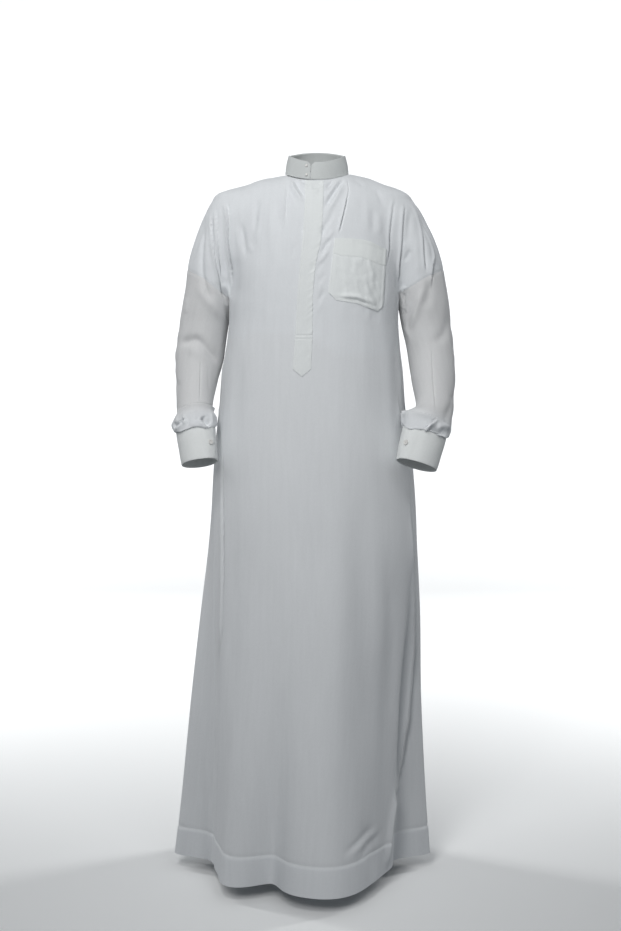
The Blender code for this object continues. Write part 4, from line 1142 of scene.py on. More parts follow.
@dataclass
class Cloth:
    """A piece of cloth as a grid of outer points, with what its finish reads at each point."""

    name: str
    points: Array
    closed: bool = False
    flipped: bool = False
    wall: float = 0.0009
    lined: Array | None = None

    @property
    def faces(self) -> Array:
        """Quads of the grid as rows of four indexes, facing out of the cloth.

        Returns:
            One row for each quad.
        """
        rows, columns = self.points.shape[:2]
        width = columns if self.closed else columns - 1
        down, across = np.meshgrid(np.arange(rows - 1), np.arange(width), indexing="ij")
        here = down * columns + across
        right = down * columns + (across + 1) % columns
        quads = np.stack([here, right, right + columns, here + columns], axis=-1).reshape(-1, 4)
        return quads[:, ::-1] if self.flipped else quads

    def corner_sums(self) -> Array:
        """Area-weighted normal sums at the grid's points.

        Returns:
            One sum for each point.
        """
        points = self.points.reshape(-1, 3)
        corner = points[self.faces]
        facing = np.cross(corner[:, 2] - corner[:, 0], corner[:, 3] - corner[:, 1])
        sums = np.zeros_like(points)
        for index in range(4):
            np.add.at(sums, self.faces[:, index], facing)
        return sums

    def normals(self) -> Array:
        """Unit normals of the grid on its own."""
        return unit(self.corner_sums()).reshape(self.points.shape)

    def above_end(self) -> Array:
        """Distance of each point from the last row's point in its column."""
        return np.linalg.norm(self.points - self.points[-1], axis=-1)

    def weave_coordinates(self) -> Array:
        """Distance across and down the cloth at each point, in metres, measured from its middle column.

        Returns:
            Two distances for each point.
        """
        across = np.linalg.norm(np.diff(self.points, axis=1), axis=-1)
        across = np.concatenate([np.zeros((len(across), 1)), np.cumsum(across, axis=1)], axis=1)
        across = across - across[:, across.shape[1] // 2][:, None]
        down = np.linalg.norm(np.diff(self.points, axis=0), axis=-1)
        down = np.concatenate([np.zeros((1, down.shape[1])), np.cumsum(down, axis=0)])
        return np.stack([across, down], axis=-1)

    def tree(self) -> BVHTree:
        """Search tree of the outer faces."""
        return BVHTree.FromPolygons(self.points.reshape(-1, 3).tolist(), self.faces.tolist())

    def shell(self, normals: Array | None = None) -> Object:
        """Build the cloth as a thin closed shell.

        Args:
            normals: directions to build the wall along, where they are shared with other pieces.

        Returns:
            The new object, with its weave coordinates and lining share stored at its points.
        """
        facing = self.normals() if normals is None else normals
        shape = self.points.shape[:2]
        count = shape[0] * shape[1]
        inner = self.points - facing * self.wall
        points = np.concatenate([self.points.reshape(-1, 3), inner.reshape(-1, 3)])
        skin = self.faces
        index = np.arange(count).reshape(shape)
        if self.closed:
            index = np.concatenate([index, index[:, :1]], axis=1)
        borders = [index[0][::-1], index[-1]]
        if not self.closed:
            borders += [index[:, 0], index[::-1, -1]]
        edges = np.concatenate([np.stack([border[:-1], border[1:]], 1) for border in borders])
        rim = np.stack([edges[:, 0], edges[:, 1], edges[:, 1] + count, edges[:, 0] + count], axis=1)
        if self.flipped:
            rim = rim[:, ::-1]
        faces = np.concatenate([skin, skin[:, ::-1] + count, rim])
        piece = mesh_object(self.name, points, faces)
        rim_edges = {tuple(sorted(edge)) for edge in np.concatenate([edges, edges + count]).tolist()}
        for edge in piece.data.edges:
            if tuple(sorted(edge.vertices)) in rim_edges:
                edge.use_edge_sharp = True
        weave = np.zeros((2 * count, 3), np.float32)
        weave[:, :2] = np.tile(self.weave_coordinates().reshape(-1, 2), (2, 1))
        store(piece.data, "weave", "FLOAT_VECTOR", weave)
        lined = np.zeros(shape) if self.lined is None else self.lined
        store(piece.data, "lined", "FLOAT", np.tile(lined.reshape(-1), 2))
        return piece


def mesh_object(name: str, points: Array, faces: Array | list) -> Object:
    """A smooth mesh object in the scene, from points and faces.

    Args:
        name: its name.
        points: its points.
        faces: its faces, as indexes of the points.

    Returns:
        The object.
    """
    mesh = bpy.data.meshes.new(name)
    corners = faces.tolist() if isinstance(faces, Array) else faces
    mesh.from_pydata(np.asarray(points).tolist(), [], corners)
    mesh.shade_smooth()
    piece = bpy.data.objects.new(name, mesh)
    bpy.context.scene.collection.objects.link(piece)
    return piece


def store(mesh: Mesh, name: str, kind: str, values: Array) -> None:
    """Store values at a mesh's points under a name.

    Args:
        mesh: the mesh.
        name: the attribute's name.
        kind: its data type.
        values: one value for each point.
    """
    attribute = mesh.attributes.new(name, kind, "POINT")
    key = "vector" if kind == "FLOAT_VECTOR" else "value"
    attribute.data.foreach_set(key, np.asarray(values, np.float32).ravel())


def shared_normals(cloths: Sequence[Cloth]) -> dict[str, Array]:
    """Normals of several pieces, summed wherever their points coincide, so that seams match.

    Args:
        cloths: the pieces.

    Returns:
        The normals of each piece, by name.
    """
    points = np.concatenate([cloth.points.reshape(-1, 3) for cloth in cloths])
    sums = np.concatenate([cloth.corner_sums() for cloth in cloths])
    _, index = np.unique(np.round(points, 6), axis=0, return_inverse=True)
    index = index.reshape(-1)
    total = np.zeros((index.max() + 1, 3))
    np.add.at(total, index, sums)
    total = unit(total)
    result, start = {}, 0
    for cloth in cloths:
        count = cloth.points.shape[0] * cloth.points.shape[1]
        result[cloth.name] = total[index[start : start + count]].reshape(cloth.points.shape)
        start += count
    return result


# ---- creases

# How many of its widths from a crease the cloth still moves
FARTHEST = 3.2


@dataclass
class Line3:
    """A crease as a line on the cloth: its points, the way each faces, its section and its size in metres."""

    points: Array
    facing: Array
    shape: Shape
    width: float
    depth: float
    fade: float
    from_cuff: bool = False

    def push(self, points: Array) -> Array:
        """How far the crease moves each point along its normal.

        Args:
            points: points of the cloth.

        Returns:
            The distance out for each point.
        """
        moved = np.zeros(len(points))
        reach = self.width * FARTHEST
        low, high = self.points.min(0) - reach, self.points.max(0) + reach
        near = np.flatnonzero(((points > low) & (points < high)).all(axis=1))
        if not len(near):
            return moved
        here = points[near]
        start, step = self.points[:-1], np.diff(self.points, axis=0)
        length = np.maximum((step**2).sum(1), TINY)
        part = np.clip(((here[:, None] - start) * step).sum(-1) / length, 0, 1)
        foot = start + step * part[..., None]
        away = here[:, None] - foot
        distance = np.linalg.norm(away, axis=-1)
        closest = distance.argmin(axis=1)
        pick = np.arange(len(here)), closest
        distance, away, part = distance[pick], away[pick], part[pick]
        place = (closest + part) / len(start)
        strength = ease((1 - place) / self.fade)
        if not self.from_cuff:
            strength = strength * ease(place / self.fade)
        if self.shape is TUCK:
            across = np.cross(step[closest], self.facing[closest])
            signed = distance * np.sign((away * across).sum(-1)) / self.width
            # a rounded lip on one side, a hollow on the other and a notch between them
            lip = 0.5 + 0.5 * np.tanh(signed / 0.16)
            height = lip * np.exp(-(signed**2) * 0.8) - (1 - lip) * 0.45 * bell(signed, 0, 0.75)
            height = height - 0.75 * bell(signed, -0.12, 0.22)
        else:
            height = bell(distance, 0, self.width)
            if self.shape is TROUGH:
                height = -height
        moved[near] = height * self.depth * strength
        return moved


@dataclass
class Folding:
    """Lays creases, gathers and a fine crumple on the cloth."""

    form: RobeForm
    cloths: Sequence[Cloth]
    long_depth: float = 0.0016
    upright_depth: float = 0.0012
    small_depth: float = 0.0003
    busy_above: float = -0.50
    busy_fade: float = 0.14
    seam_depth: float = 0.0009
    seam_reach: float = 0.0035
    stitch_depth: float = 0.0006

    def __post_init__(self) -> None:
        """Prepare one search tree of all the cloth."""
        points, faces, start = [], [], 0
        for cloth in self.cloths:
            points.append(cloth.points.reshape(-1, 3))
            faces.append(cloth.faces + start)
            start += len(points[-1])
        self.tree = BVHTree.FromPolygons(np.concatenate(points).tolist(), np.concatenate(faces).tolist())

    def laid(self, crease: Crease) -> Line3 | None:
        """Drop a crease's curve onto the cloth along the direction it is laid from.

        Args:
            crease: the crease.

        Returns:
            Its line, or None where it misses the cloth.
        """
        along = np.array([*crease.seen.value, 0.0])
        flat = np.array(crease.points)
        count = 14 * len(flat)
        if len(flat) > 2:
            flat = spline(flat, np.linspace(0, len(flat) - 1, count))
        else:
            flat = np.linspace(*flat, count)
        points, facing = [], []
        for across, height in flat:
            sideways = np.array([across, 0.0, height]) if along[0] == 0 else np.array([0.0, across, height])
            place, normal, _, _ = self.tree.ray_cast(Vector(sideways - along), Vector(along))
            if place is None:
                continue
            points.append(tuple(place))
            facing.append(tuple(normal))
        if len(points) < 3:
            LOG.warning("a crease misses the cloth: %s", crease.points)
            return None
        section = (crease.shape, crease.width, crease.depth, crease.fade)
        return Line3(np.array(points), np.array(facing), *section)

    def gathered(self, side: Side, gather: Gather) -> Line3:
        """A pleat that runs up a sleeve from its cuff.

        Args:
            side: the sleeve's side.
            gather: the pleat.

        Returns:
            Its line.
        """
        share = gather.length / self.form.sleeve_run(side)[-1]
        up = np.linspace(0, 1, 12)
        places, angles = 1 - share * 1.5 * up, gather.angle + gather.lean * up
        points = self.form.section_point(side, places, angles)
        across = self.form.section_point(side, places, angles + 180)
        shape = RIDGE if gather.depth > 0 else TROUGH
        width, depth = gather.width / MM, abs(gather.depth) / MM
        return Line3(points, unit(points - across), shape, width, depth, fade=0.8, from_cuff=True)

    def crumple(self, points: Array) -> Array:
        """Soft unevenness: long upright waves in the skirt, and smaller ones where the cloth is busy.

        Args:
            points: points of the cloth.

        Returns:
            The distance out for each point.
        """
        moved = np.empty(len(points))
        for index, (x, y, z) in enumerate(points.tolist()):
            long_wave = noise.noise((x * 9.0, y * 9.0, z * 1.6))
            upright = noise.noise((x * 30.0 + 7.0, y * 30.0, z * 3.6))
            small = noise.noise((x * 60.0, y * 60.0 + 3.0, z * 34.0))
            busy = 0.3 + 0.7 * min(1.0, max(0.0, (z - self.busy_above) / self.busy_fade))
            fine = self.upright_depth * upright + self.small_depth * small
            moved[index] = self.long_depth * long_wave + busy * fine
        return moved

    def fold(self, tables: Sequence[Crease]) -> dict[str, Array]:
        """Move every piece's points by the creases.

        Args:
            tables: all the creases laid from outside.

        Returns:
            The normals of the folded pieces, by name.
        """
        normals = shared_normals(self.cloths)
        lines = [line for crease in tables if (line := self.laid(crease)) is not None]
        pleats = [self.gathered(side, gather) for side, rows in GATHERS.items() for gather in rows]
        for cloth in self.cloths:
            flat = cloth.points.reshape(-1, 3)
            push = self.crumple(flat)
            for line in lines:
                push += line.push(flat)
            if cloth.closed:
                gathered = sum(line.push(flat) for line in pleats)
                push = (push + gathered) * ease((cloth.above_end().reshape(-1) + 0.0008) / 0.006)
            else:
                push += HEM_EXTRA * ease((HEM_TOP - flat[:, 2]) / 0.003)
                push -= self.stitch_depth * bell(flat[:, 2], HEM_TOP + 0.001, 0.003)
            cloth.points = cloth.points + normals[cloth.name] * push.reshape(cloth.points.shape[:2])[..., None]
        self.sink_seams(normals)
        LOG.info("laid %d creases and %d gathers", len(lines), len(pleats))
        return shared_normals(self.cloths)

    def sink_seams(self, normals: dict[str, Array]) -> None:
        """Draw the sewn edges of the pieces in, so that each seam lies in a fine groove.

        Args:
            normals: the cloth's normals, by name.
        """
        for cloth in self.cloths:
            coordinates = cloth.weave_coordinates()
            across, down = coordinates[..., 0], coordinates[..., 1]
            edges = [down]
            if not cloth.closed:
                edges += [across - across[:, :1], across[:, -1:] - across]
            groove = np.minimum(sum(bell(edge, 0, self.seam_reach) for edge in edges), 1.0)
            cloth.points = cloth.points - normals[cloth.name] * (self.seam_depth * groove)[..., None]


# ---- finishes

@dataclass(frozen=True)
class ClothLook:
    """How a cloth looks: its colour where it is doubled and single, its sheen, its yarn and its wrinkles."""

    name: str
    doubled: tuple[float, float, float]
    single: tuple[float, float, float]
    roughness: float
    sheen: float
    yarn: float = 0.00046
    weave_depth: float = 0.00005
    wrinkle_depth: float = 0.00035


@dataclass(frozen=True)
class GlossLook:
    """How a hard fitting looks."""

    name: str
    colour: tuple[float, float, float]
    roughness: float
    coat: float


POPLIN = ClothLook("robe_poplin", (0.801, 0.822, 0.840), (0.720, 0.722, 0.722), 0.82, 0.12)
# The placket's colour is lighter than the robe's: partly its extra layer of cloth, partly painted light.
PLACKET_POPLIN_PAINTED_LIGHT = ClothLook("placket_poplin", *[(0.835, 0.860, 0.856)] * 2, 0.82, 0.12, wrinkle_depth=0.0003)
# The pocket's colour is lighter than the robe's: partly its extra layer of cloth, partly painted light.
POCKET_POPLIN_PAINTED_LIGHT = ClothLook("pocket_poplin", (0.870, 0.898, 0.885), (0.850, 0.876, 0.878), 0.82, 0.12,
                     wrinkle_depth=0.0003)
# The collar's colour is darker than the robe's cloth: painted shade, standing in for the shadow of the wearer's
# chin above it.
COLLAR_POPLIN_PAINTED_SHADE = ClothLook("collar_poplin", *[(0.625, 0.648, 0.640)] * 2, 0.76, 0.08, wrinkle_depth=0.0001)
# The cuffs' colour is lighter than the robe's cloth: painted light on the cuffs.
CUFF_POPLIN_PAINTED_LIGHT = ClothLook("cuff_poplin", *[(0.865, 0.885, 0.875)] * 2, 0.76, 0.08, wrinkle_depth=0.0001)
THREAD = ClothLook("thread", *[(0.78, 0.79, 0.785)] * 2, 0.7, 0.1, 0.0004, 0.00004, 0.0)
PEARL = GlossLook("pearl", (0.80, 0.79, 0.76), 0.28, 0.4)


def feed(tree: NodeTree, node: Node, inputs: dict) -> None:
    """Set or link a node's inputs.

    Args:
        tree: the tree that holds the node.
        node: the node.
        inputs: by name or index, the value to set, the socket to link from, or None to leave the input alone.
    """
    for key, value in inputs.items():
        if isinstance(value, NodeSocket):
            tree.links.new(value, node.inputs[key])
        elif value is not None:
            node.inputs[key].default_value = value


def add_node(tree: NodeTree, kind: str, inputs: dict, **settings) -> Node:
    """Add a shader node.

    Args:
        tree: the tree to add it to.
        kind: its type, without the leading ShaderNode.
        inputs: what its inputs read, as for feed.
        settings: its own properties.

    Returns:
        The new node.
    """
    node = tree.nodes.new("ShaderNode" + kind)
    for name, value in settings.items():
        setattr(node, name, value)
    feed(tree, node, inputs)
    return node


def maths(tree: NodeTree, operation: str, *values: NodeSocket | float) -> NodeSocket:
    """The result of a maths node on sockets or values."""
    return add_node(tree, "Math", dict(enumerate(values)), operation=operation).outputs[0]


class NodeGroups:
    """Shader node groups that the finishes share."""

    def __init__(self) -> None:
        """Build each group once."""
        cloth, number = {"Cloth": "NodeSocketVector"}, "NodeSocketFloat"
        self.weave = self.build(
            "poplin_weave", self.weave_nodes, cloth | {"Yarn": number}, {"Height": number, "Shade": number}
        )
        self.wrinkle = self.build("soft_wrinkle", self.wrinkle_nodes, cloth, {"Height": number, "Tone": number})

    @staticmethod
    def build(name: str, fill: Callable, takes: dict[str, str], gives: dict[str, str]) -> NodeTree:
        """Make a node group with named sockets and fill it.

        Args:
            name: the group's name.
            fill: called with the tree and its input node; gives what each output reads, by name.
            takes: input sockets, by name.
            gives: output sockets, by name.

        Returns:
            The group's tree.
        """
        tree = bpy.data.node_groups.new(name, "ShaderNodeTree")
        for direction, sockets in (("INPUT", takes), ("OUTPUT", gives)):
            for socket, kind in sockets.items():
                tree.interface.new_socket(socket, in_out=direction, socket_type=kind)
        given = tree.nodes.new("NodeGroupInput")
        feed(tree, tree.nodes.new("NodeGroupOutput"), fill(tree, given))
        return tree

    @staticmethod
    def weave_nodes(tree: NodeTree, given: Node) -> dict[str, NodeSocket]:
        """Plain weave: warp and weft yarns that rise in turn, from the cloth's own coordinates.

        Args:
            tree: the group's tree.
            given: its input node.

        Returns:
            What each output reads.
        """
        split = add_node(tree, "SeparateXYZ", {0: given.outputs["Cloth"]})
        waves = []
        for axis in range(2):
            yarns = maths(tree, "DIVIDE", split.outputs[axis], given.outputs["Yarn"])
            waves.append(maths(tree, "SINE", maths(tree, "MULTIPLY", yarns, math.pi)))
        height = maths(tree, "ABSOLUTE", maths(tree, "MULTIPLY", *waves))
        return {"Height": height, "Shade": maths(tree, "ADD", maths(tree, "MULTIPLY", height, 0.06), 0.96)}

    @staticmethod
    def stretched_noise(tree: NodeTree, given: Node, scale: tuple[float, float, float],
                        detail: float, distortion: float = 0.0) -> NodeSocket:
        """Noise drawn out over the cloth's own coordinates.

        Args:
            tree: the group's tree.
            given: its input node.
            scale: waves in a metre, across and down.
            detail: how many finer layers.
            distortion: how much they are bent.

        Returns:
            The noise, from 0 to 1.
        """
        place = add_node(tree, "Mapping", {"Vector": given.outputs["Cloth"], "Scale": scale}).outputs[0]
        inputs = {"Vector": place, "Scale": 1.0, "Detail": detail, "Distortion": distortion}
        return add_node(tree, "TexNoise", inputs).outputs[0]

    def wrinkle_nodes(self, tree: NodeTree, given: Node) -> dict[str, NodeSocket]:
        """Fine wrinkles that run mostly down the cloth, and its uneven tone: slow clouds, slubs and grain.

        Args:
            tree: the group's tree.
            given: its input node.

        Returns:
            What each output reads.
        """
        tone = 0.91
        for scale, detail, share in (
            ((6.0, 6.0, 6.0), 2.0, 0.06),
            ((120.0, 11.0, 1.0), 2.0, 0.07),
            ((230.0, 210.0, 1.0), 1.0, 0.05),
        ):
            part = maths(tree, "MULTIPLY", self.stretched_noise(tree, given, scale, detail), share)
            tone = maths(tree, "ADD", part, tone)
        return {"Height": self.stretched_noise(tree, given, (34.0, 9.0, 1.0), 3.0, 0.6), "Tone": tone}


class Finishes:
    """Makes each finish once."""

    def __init__(self) -> None:
        """Build the shared node groups."""
        self.groups = NodeGroups()
        self.made: dict[str, Material] = {}

    def material(self, look: ClothLook | GlossLook) -> Material:
        """The material of a look, made when it is first asked for.

        Args:
            look: the finish.

        Returns:
            Its material.
        """
        if look.name not in self.made:
            material = self.made[look.name] = bpy.data.materials.new(look.name)
            material.use_nodes = True
            tree = material.node_tree
            tint = add_node(tree, "VectorMath", {}, operation="SCALE")
            fill = self.fill_cloth if isinstance(look, ClothLook) else self.fill_gloss
            inputs = {"Base Color": tint.outputs[0], "Roughness": look.roughness}
            feed(tree, tree.nodes["Principled BSDF"], inputs | fill(tree, tint, look))
        return self.made[look.name]

    def fill_cloth(self, tree: NodeTree, tint: Node, look: ClothLook) -> dict:
        """Make the nodes of a cloth.

        Args:
            tree: the material's tree.
            tint: the node that scales its colour.
            look: its finish.

        Returns:
            What the Principled node's other inputs read.
        """
        place = add_node(tree, "Attribute", {}, attribute_name="weave").outputs["Vector"]
        lined = add_node(tree, "Attribute", {}, attribute_name="lined").outputs["Fac"]
        weave = add_node(tree, "Group", {"Cloth": place, "Yarn": look.yarn}, node_tree=self.groups.weave)
        wrinkle = add_node(tree, "Group", {"Cloth": place}, node_tree=self.groups.wrinkle)
        colours = {0: lined, 6: (*look.single, 1.0), 7: (*look.doubled, 1.0)}
        base = add_node(tree, "Mix", colours, data_type="RGBA")
        shade = maths(tree, "MULTIPLY", weave.outputs["Shade"], wrinkle.outputs["Tone"])
        feed(tree, tint, {0: base.outputs[2], "Scale": shade})
        normal = None
        for node, depth in ((wrinkle, look.wrinkle_depth), (weave, look.weave_depth)):
            if depth:
                inputs = {"Height": node.outputs["Height"], "Distance": depth, "Normal": normal}
                normal = add_node(tree, "Bump", inputs).outputs[0]
        sheen = {"Sheen Weight": look.sheen, "Sheen Roughness": 0.5}
        return sheen | {"Normal": normal, "Specular IOR Level": 0.3}

    @staticmethod
    def fill_gloss(tree: NodeTree, tint: Node, look: GlossLook) -> dict:
        """Make the nodes of a hard fitting, with a faint cloudiness.

        Args:
            tree: the material's tree.
            tint: the node that scales its colour.
            look: its finish.

        Returns:
            What the Principled node's other inputs read.
        """
        cloud = add_node(tree, "TexNoise", {"Scale": 420.0}).outputs[0]
        spread = add_node(tree, "MapRange", {"Value": cloud, "To Min": 0.9, "To Max": 1.08}).outputs[0]
        feed(tree, tint, {0: look.colour, "Scale": spread})
        return {"Coat Weight": look.coat}


def dress(piece: Object, material: Material, slot: str, *nodes: str) -> Object:
    """Give a piece its finish and its body, and hide the solids it stands for.

    Args:
        piece: the piece.
        material: its finish.
        slot: not used. its material slot.
        nodes: the solids it stands for.

    Returns:
        The same piece.
    """
    piece.data.materials.append(material)
    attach(piece, BODY)
    if nodes:
        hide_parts(*nodes)
    return piece


# ---- stitching

Part = tuple[Array, list]


def join_meshes(name: str, parts: list[Part]) -> Object:
    """One object from several sets of points and faces.

    Args:
        name: its name.
        parts: the sets.

    Returns:
        The object.
    """
    points, faces, start = [], [], 0
    for part_points, part_faces in parts:
        points.append(part_points)
        faces += [[corner + start for corner in face] for face in part_faces]
        start += len(part_points)
    return mesh_object(name, np.concatenate(points), faces)


def tube_faces(rings: int, sides: int) -> list[list[int]]:
    """Quads between rings of points that follow each other.

    Args:
        rings: how many rings.
        sides: how many points in each.

    Returns:
        The quads, as indexes of the points.
    """
    faces = []
    for ring in range(rings - 1):
        for step in range(sides):
            here, right = ring * sides + step, ring * sides + (step + 1) % sides
            faces.append([here, right, right + sides, here + sides])
    return faces


@dataclass
class Stitching:
    """Topstitching: short threads laid in a line on the cloth."""

    pitch: float = 0.0030
    length: float = 0.0021
    radius: float = 0.00018
    sides: int = 5

    def thread(self, start: Array, end: Array, up: Array) -> Part:
        """One stitch: a thread that dips into the cloth at both ends.

        Args:
            start: where it starts.
            end: where it ends.
            up: the cloth's normal.

        Returns:
            Its points and faces.
        """
        along = end - start
        across = unit(np.cross(along, up))
        turns = np.arange(self.sides) * 2 * math.pi / self.sides
        ring = np.cos(turns)[:, None] * across + np.sin(turns)[:, None] * up
        points = []
        for share, size, lift in ((0.0, 0.45, -0.8), (0.2, 1.0, 0.25), (0.8, 1.0, 0.25), (1.0, 0.45, -0.8)):
            points.append(start + along * share + up * self.radius * lift + ring * self.radius * size)
        corners = list(range(self.sides))
        ends = [corners[::-1], [3 * self.sides + corner for corner in corners]]
        return np.concatenate(points), tube_faces(4, self.sides) + ends

    def run(self, line: Array, normals: Array) -> list[Part]:
        """Stitches along a line of points with the cloth's normals there.

        Args:
            line: the points.
            normals: the normals.

        Returns:
            The stitches.
        """
        marks = run_along(line)
        count = max(1, int(marks[-1] / self.pitch))
        starts = (np.arange(count) + 0.15) * marks[-1] / count

        def at(values: Array, where: Array) -> Array:
            """The values at distances along the line."""
            return np.stack([np.interp(where, marks, values[:, axis]) for axis in range(3)], axis=1)

        begin, end, up = at(line, starts), at(line, starts + self.length), unit(at(normals, starts))
        return [self.thread(*stitch) for stitch in zip(begin, end, up)]

    def sew(self, name: str, finishes: Finishes, cloth: Cloth, *runs: tuple) -> Object:
        """Sew lines of stitches on a cloth.

        Args:
            name: the name of the stitches' piece.
            finishes: where its material comes from.
            cloth: the cloth.
            runs: the lines, each as an index of the cloth's grid.

        Returns:
            The dressed stitches.
        """
        normals = cloth.normals()
        threads = [stitch for line in runs for stitch in self.run(cloth.points[line], normals[line])]
        return dress(join_meshes(name, threads), finishes.material(THREAD), "robe_cloth")


# ---- the robe's cloth

@dataclass
class RobeCloth:
    """The front, back and side panels and both sleeves."""

    cut: Cut
    finishes: Finishes
    full_end: float = 0.055
    yoke_edge: float = -0.324
    yoke_step: float = 0.032
    hem_margin: float = 0.0018
    # flat size in metres and area in square metres
    flat: dict = field(default_factory=lambda: {
        "front_panel": ((0.80, 1.45), 0.69), "back_panel": ((0.78, 1.45), 0.67),
        "side_panel_right": ((0.20, 1.13), 0.149), "side_panel_left": ((0.20, 1.13), 0.145),
        "sleeve_right": ((0.42, 0.36), 0.109), "sleeve_left": ((0.42, 0.34), 0.100),
    })

    def __post_init__(self) -> None:
        """Lay out the pieces and fold them."""
        front, back = self.cut.panel(Face.FRONT), self.cut.panel(Face.BACK)
        right, left = Side.RIGHT, Side.LEFT
        self.cloths = {
            cloth.name: cloth
            for cloth in (
                Cloth("front_panel", front, flipped=True),
                Cloth("back_panel", back),
                Cloth("side_panel_right", self.cut.side_panel(right)),
                Cloth("side_panel_left", self.cut.side_panel(left), flipped=True),
                Cloth("sleeve_right", self.cut.sleeve(front, back, right), closed=True, flipped=True),
                Cloth("sleeve_left", self.cut.sleeve(front, back, left), closed=True),
            )
        }
        self.wrists = {side: self.cloths["sleeve_" + side.word].points[-1].copy() for side in Side}
        self.mark_lining()
        tables = FRONT_CREASES + BACK_CREASES + RIGHT_CREASES + LEFT_CREASES + SLEEVE_CREASES
        self.normals = Folding(self.cut.form, list(self.cloths.values())).fold(tables)

    def mark_lining(self) -> None:
        """Say where the cloth is doubled: the lined yoke, the hem and the full ends of the sleeves."""
        for name, cloth in self.cloths.items():
            if cloth.closed:
                cloth.lined = 0.9 * ease((self.full_end - cloth.above_end()) / 0.04)
                continue
            height = cloth.points[..., 2]
            edge = self.yoke_edge - self.yoke_step * ease((cloth.points[..., 0] + 0.02) / 0.05)
            yoke = ease((height - edge) / 0.0035)
            hem = ease((HEM_TOP - height) / 0.002)
            cloth.lined = np.maximum(0.80 + 0.20 * hem, yoke if "side" not in name else 0.0)

    def build(self) -> list[Object]:
        """Make the shells and the hem's stitches.

        Returns:
            The dressed pieces.
        """
        material, made = self.finishes.material(POPLIN), []
        for name, cloth in self.cloths.items():
            piece = dress(cloth.shell(self.normals[name]), material, "robe_cloth", name)
            made.append(piece)
        return [*made, self.hem_stitches()]

    def hem_stitches(self) -> Object:
        """The line of stitches round the top of the hem.

        Returns:
            The dressed stitches.
        """
        threads = []
        for name, cloth in self.cloths.items():
            if not cloth.closed:
                row = nearest(cloth.points[..., 2].mean(axis=1), HEM_TOP - self.hem_margin)
                threads += Stitching().run(cloth.points[row, 2:-2], self.normals[name][row, 2:-2])
        return dress(join_meshes("hem_stitches", threads), self.finishes.material(THREAD), "robe_cloth")


# ---- pieces sewn on the front

def banded(middle: int, edge: float = 0.004) -> Array:
    """Shares from 0 to 1 with extra ones close to both ends, so that an edge keeps its roundness."""
    close = np.array([0.0, edge * 0.35, edge])
    return np.concatenate([close, np.linspace(edge, 1 - edge, middle)[1:-1], (1 - close)[::-1]])


@dataclass
class Patch:
    """A piece laid on the front panel: its outline as a grid of X and height, and how proud it stands."""

    name: str
    outline: Array
    lift: Array
    wall: float = 0.0009

    def cloth(self, tree: BVHTree) -> Cloth:
        """Lay the outline on the cloth behind it.

        Args:
            tree: the cloth behind.

        Returns:
            The patch's cloth.
        """
        rows, columns = self.outline.shape[:2]
        ground = np.empty((rows, columns, 3))
        for row in range(rows):
            for place in range(columns):
                x, height = self.outline[row, place]
                hit, _, _, _ = tree.ray_cast(Vector((x, -1.0, height)), Vector((0, 1, 0)))
                ground[row, place] = tuple(hit) if hit is not None else ground[row, place - 1]
        base = Cloth(self.name, ground, flipped=True)
        facing = base.normals()
        base.points = ground + facing * self.lift[..., None]
        base.wall = self.wall
        base.lined = np.ones((rows, columns))
        return base


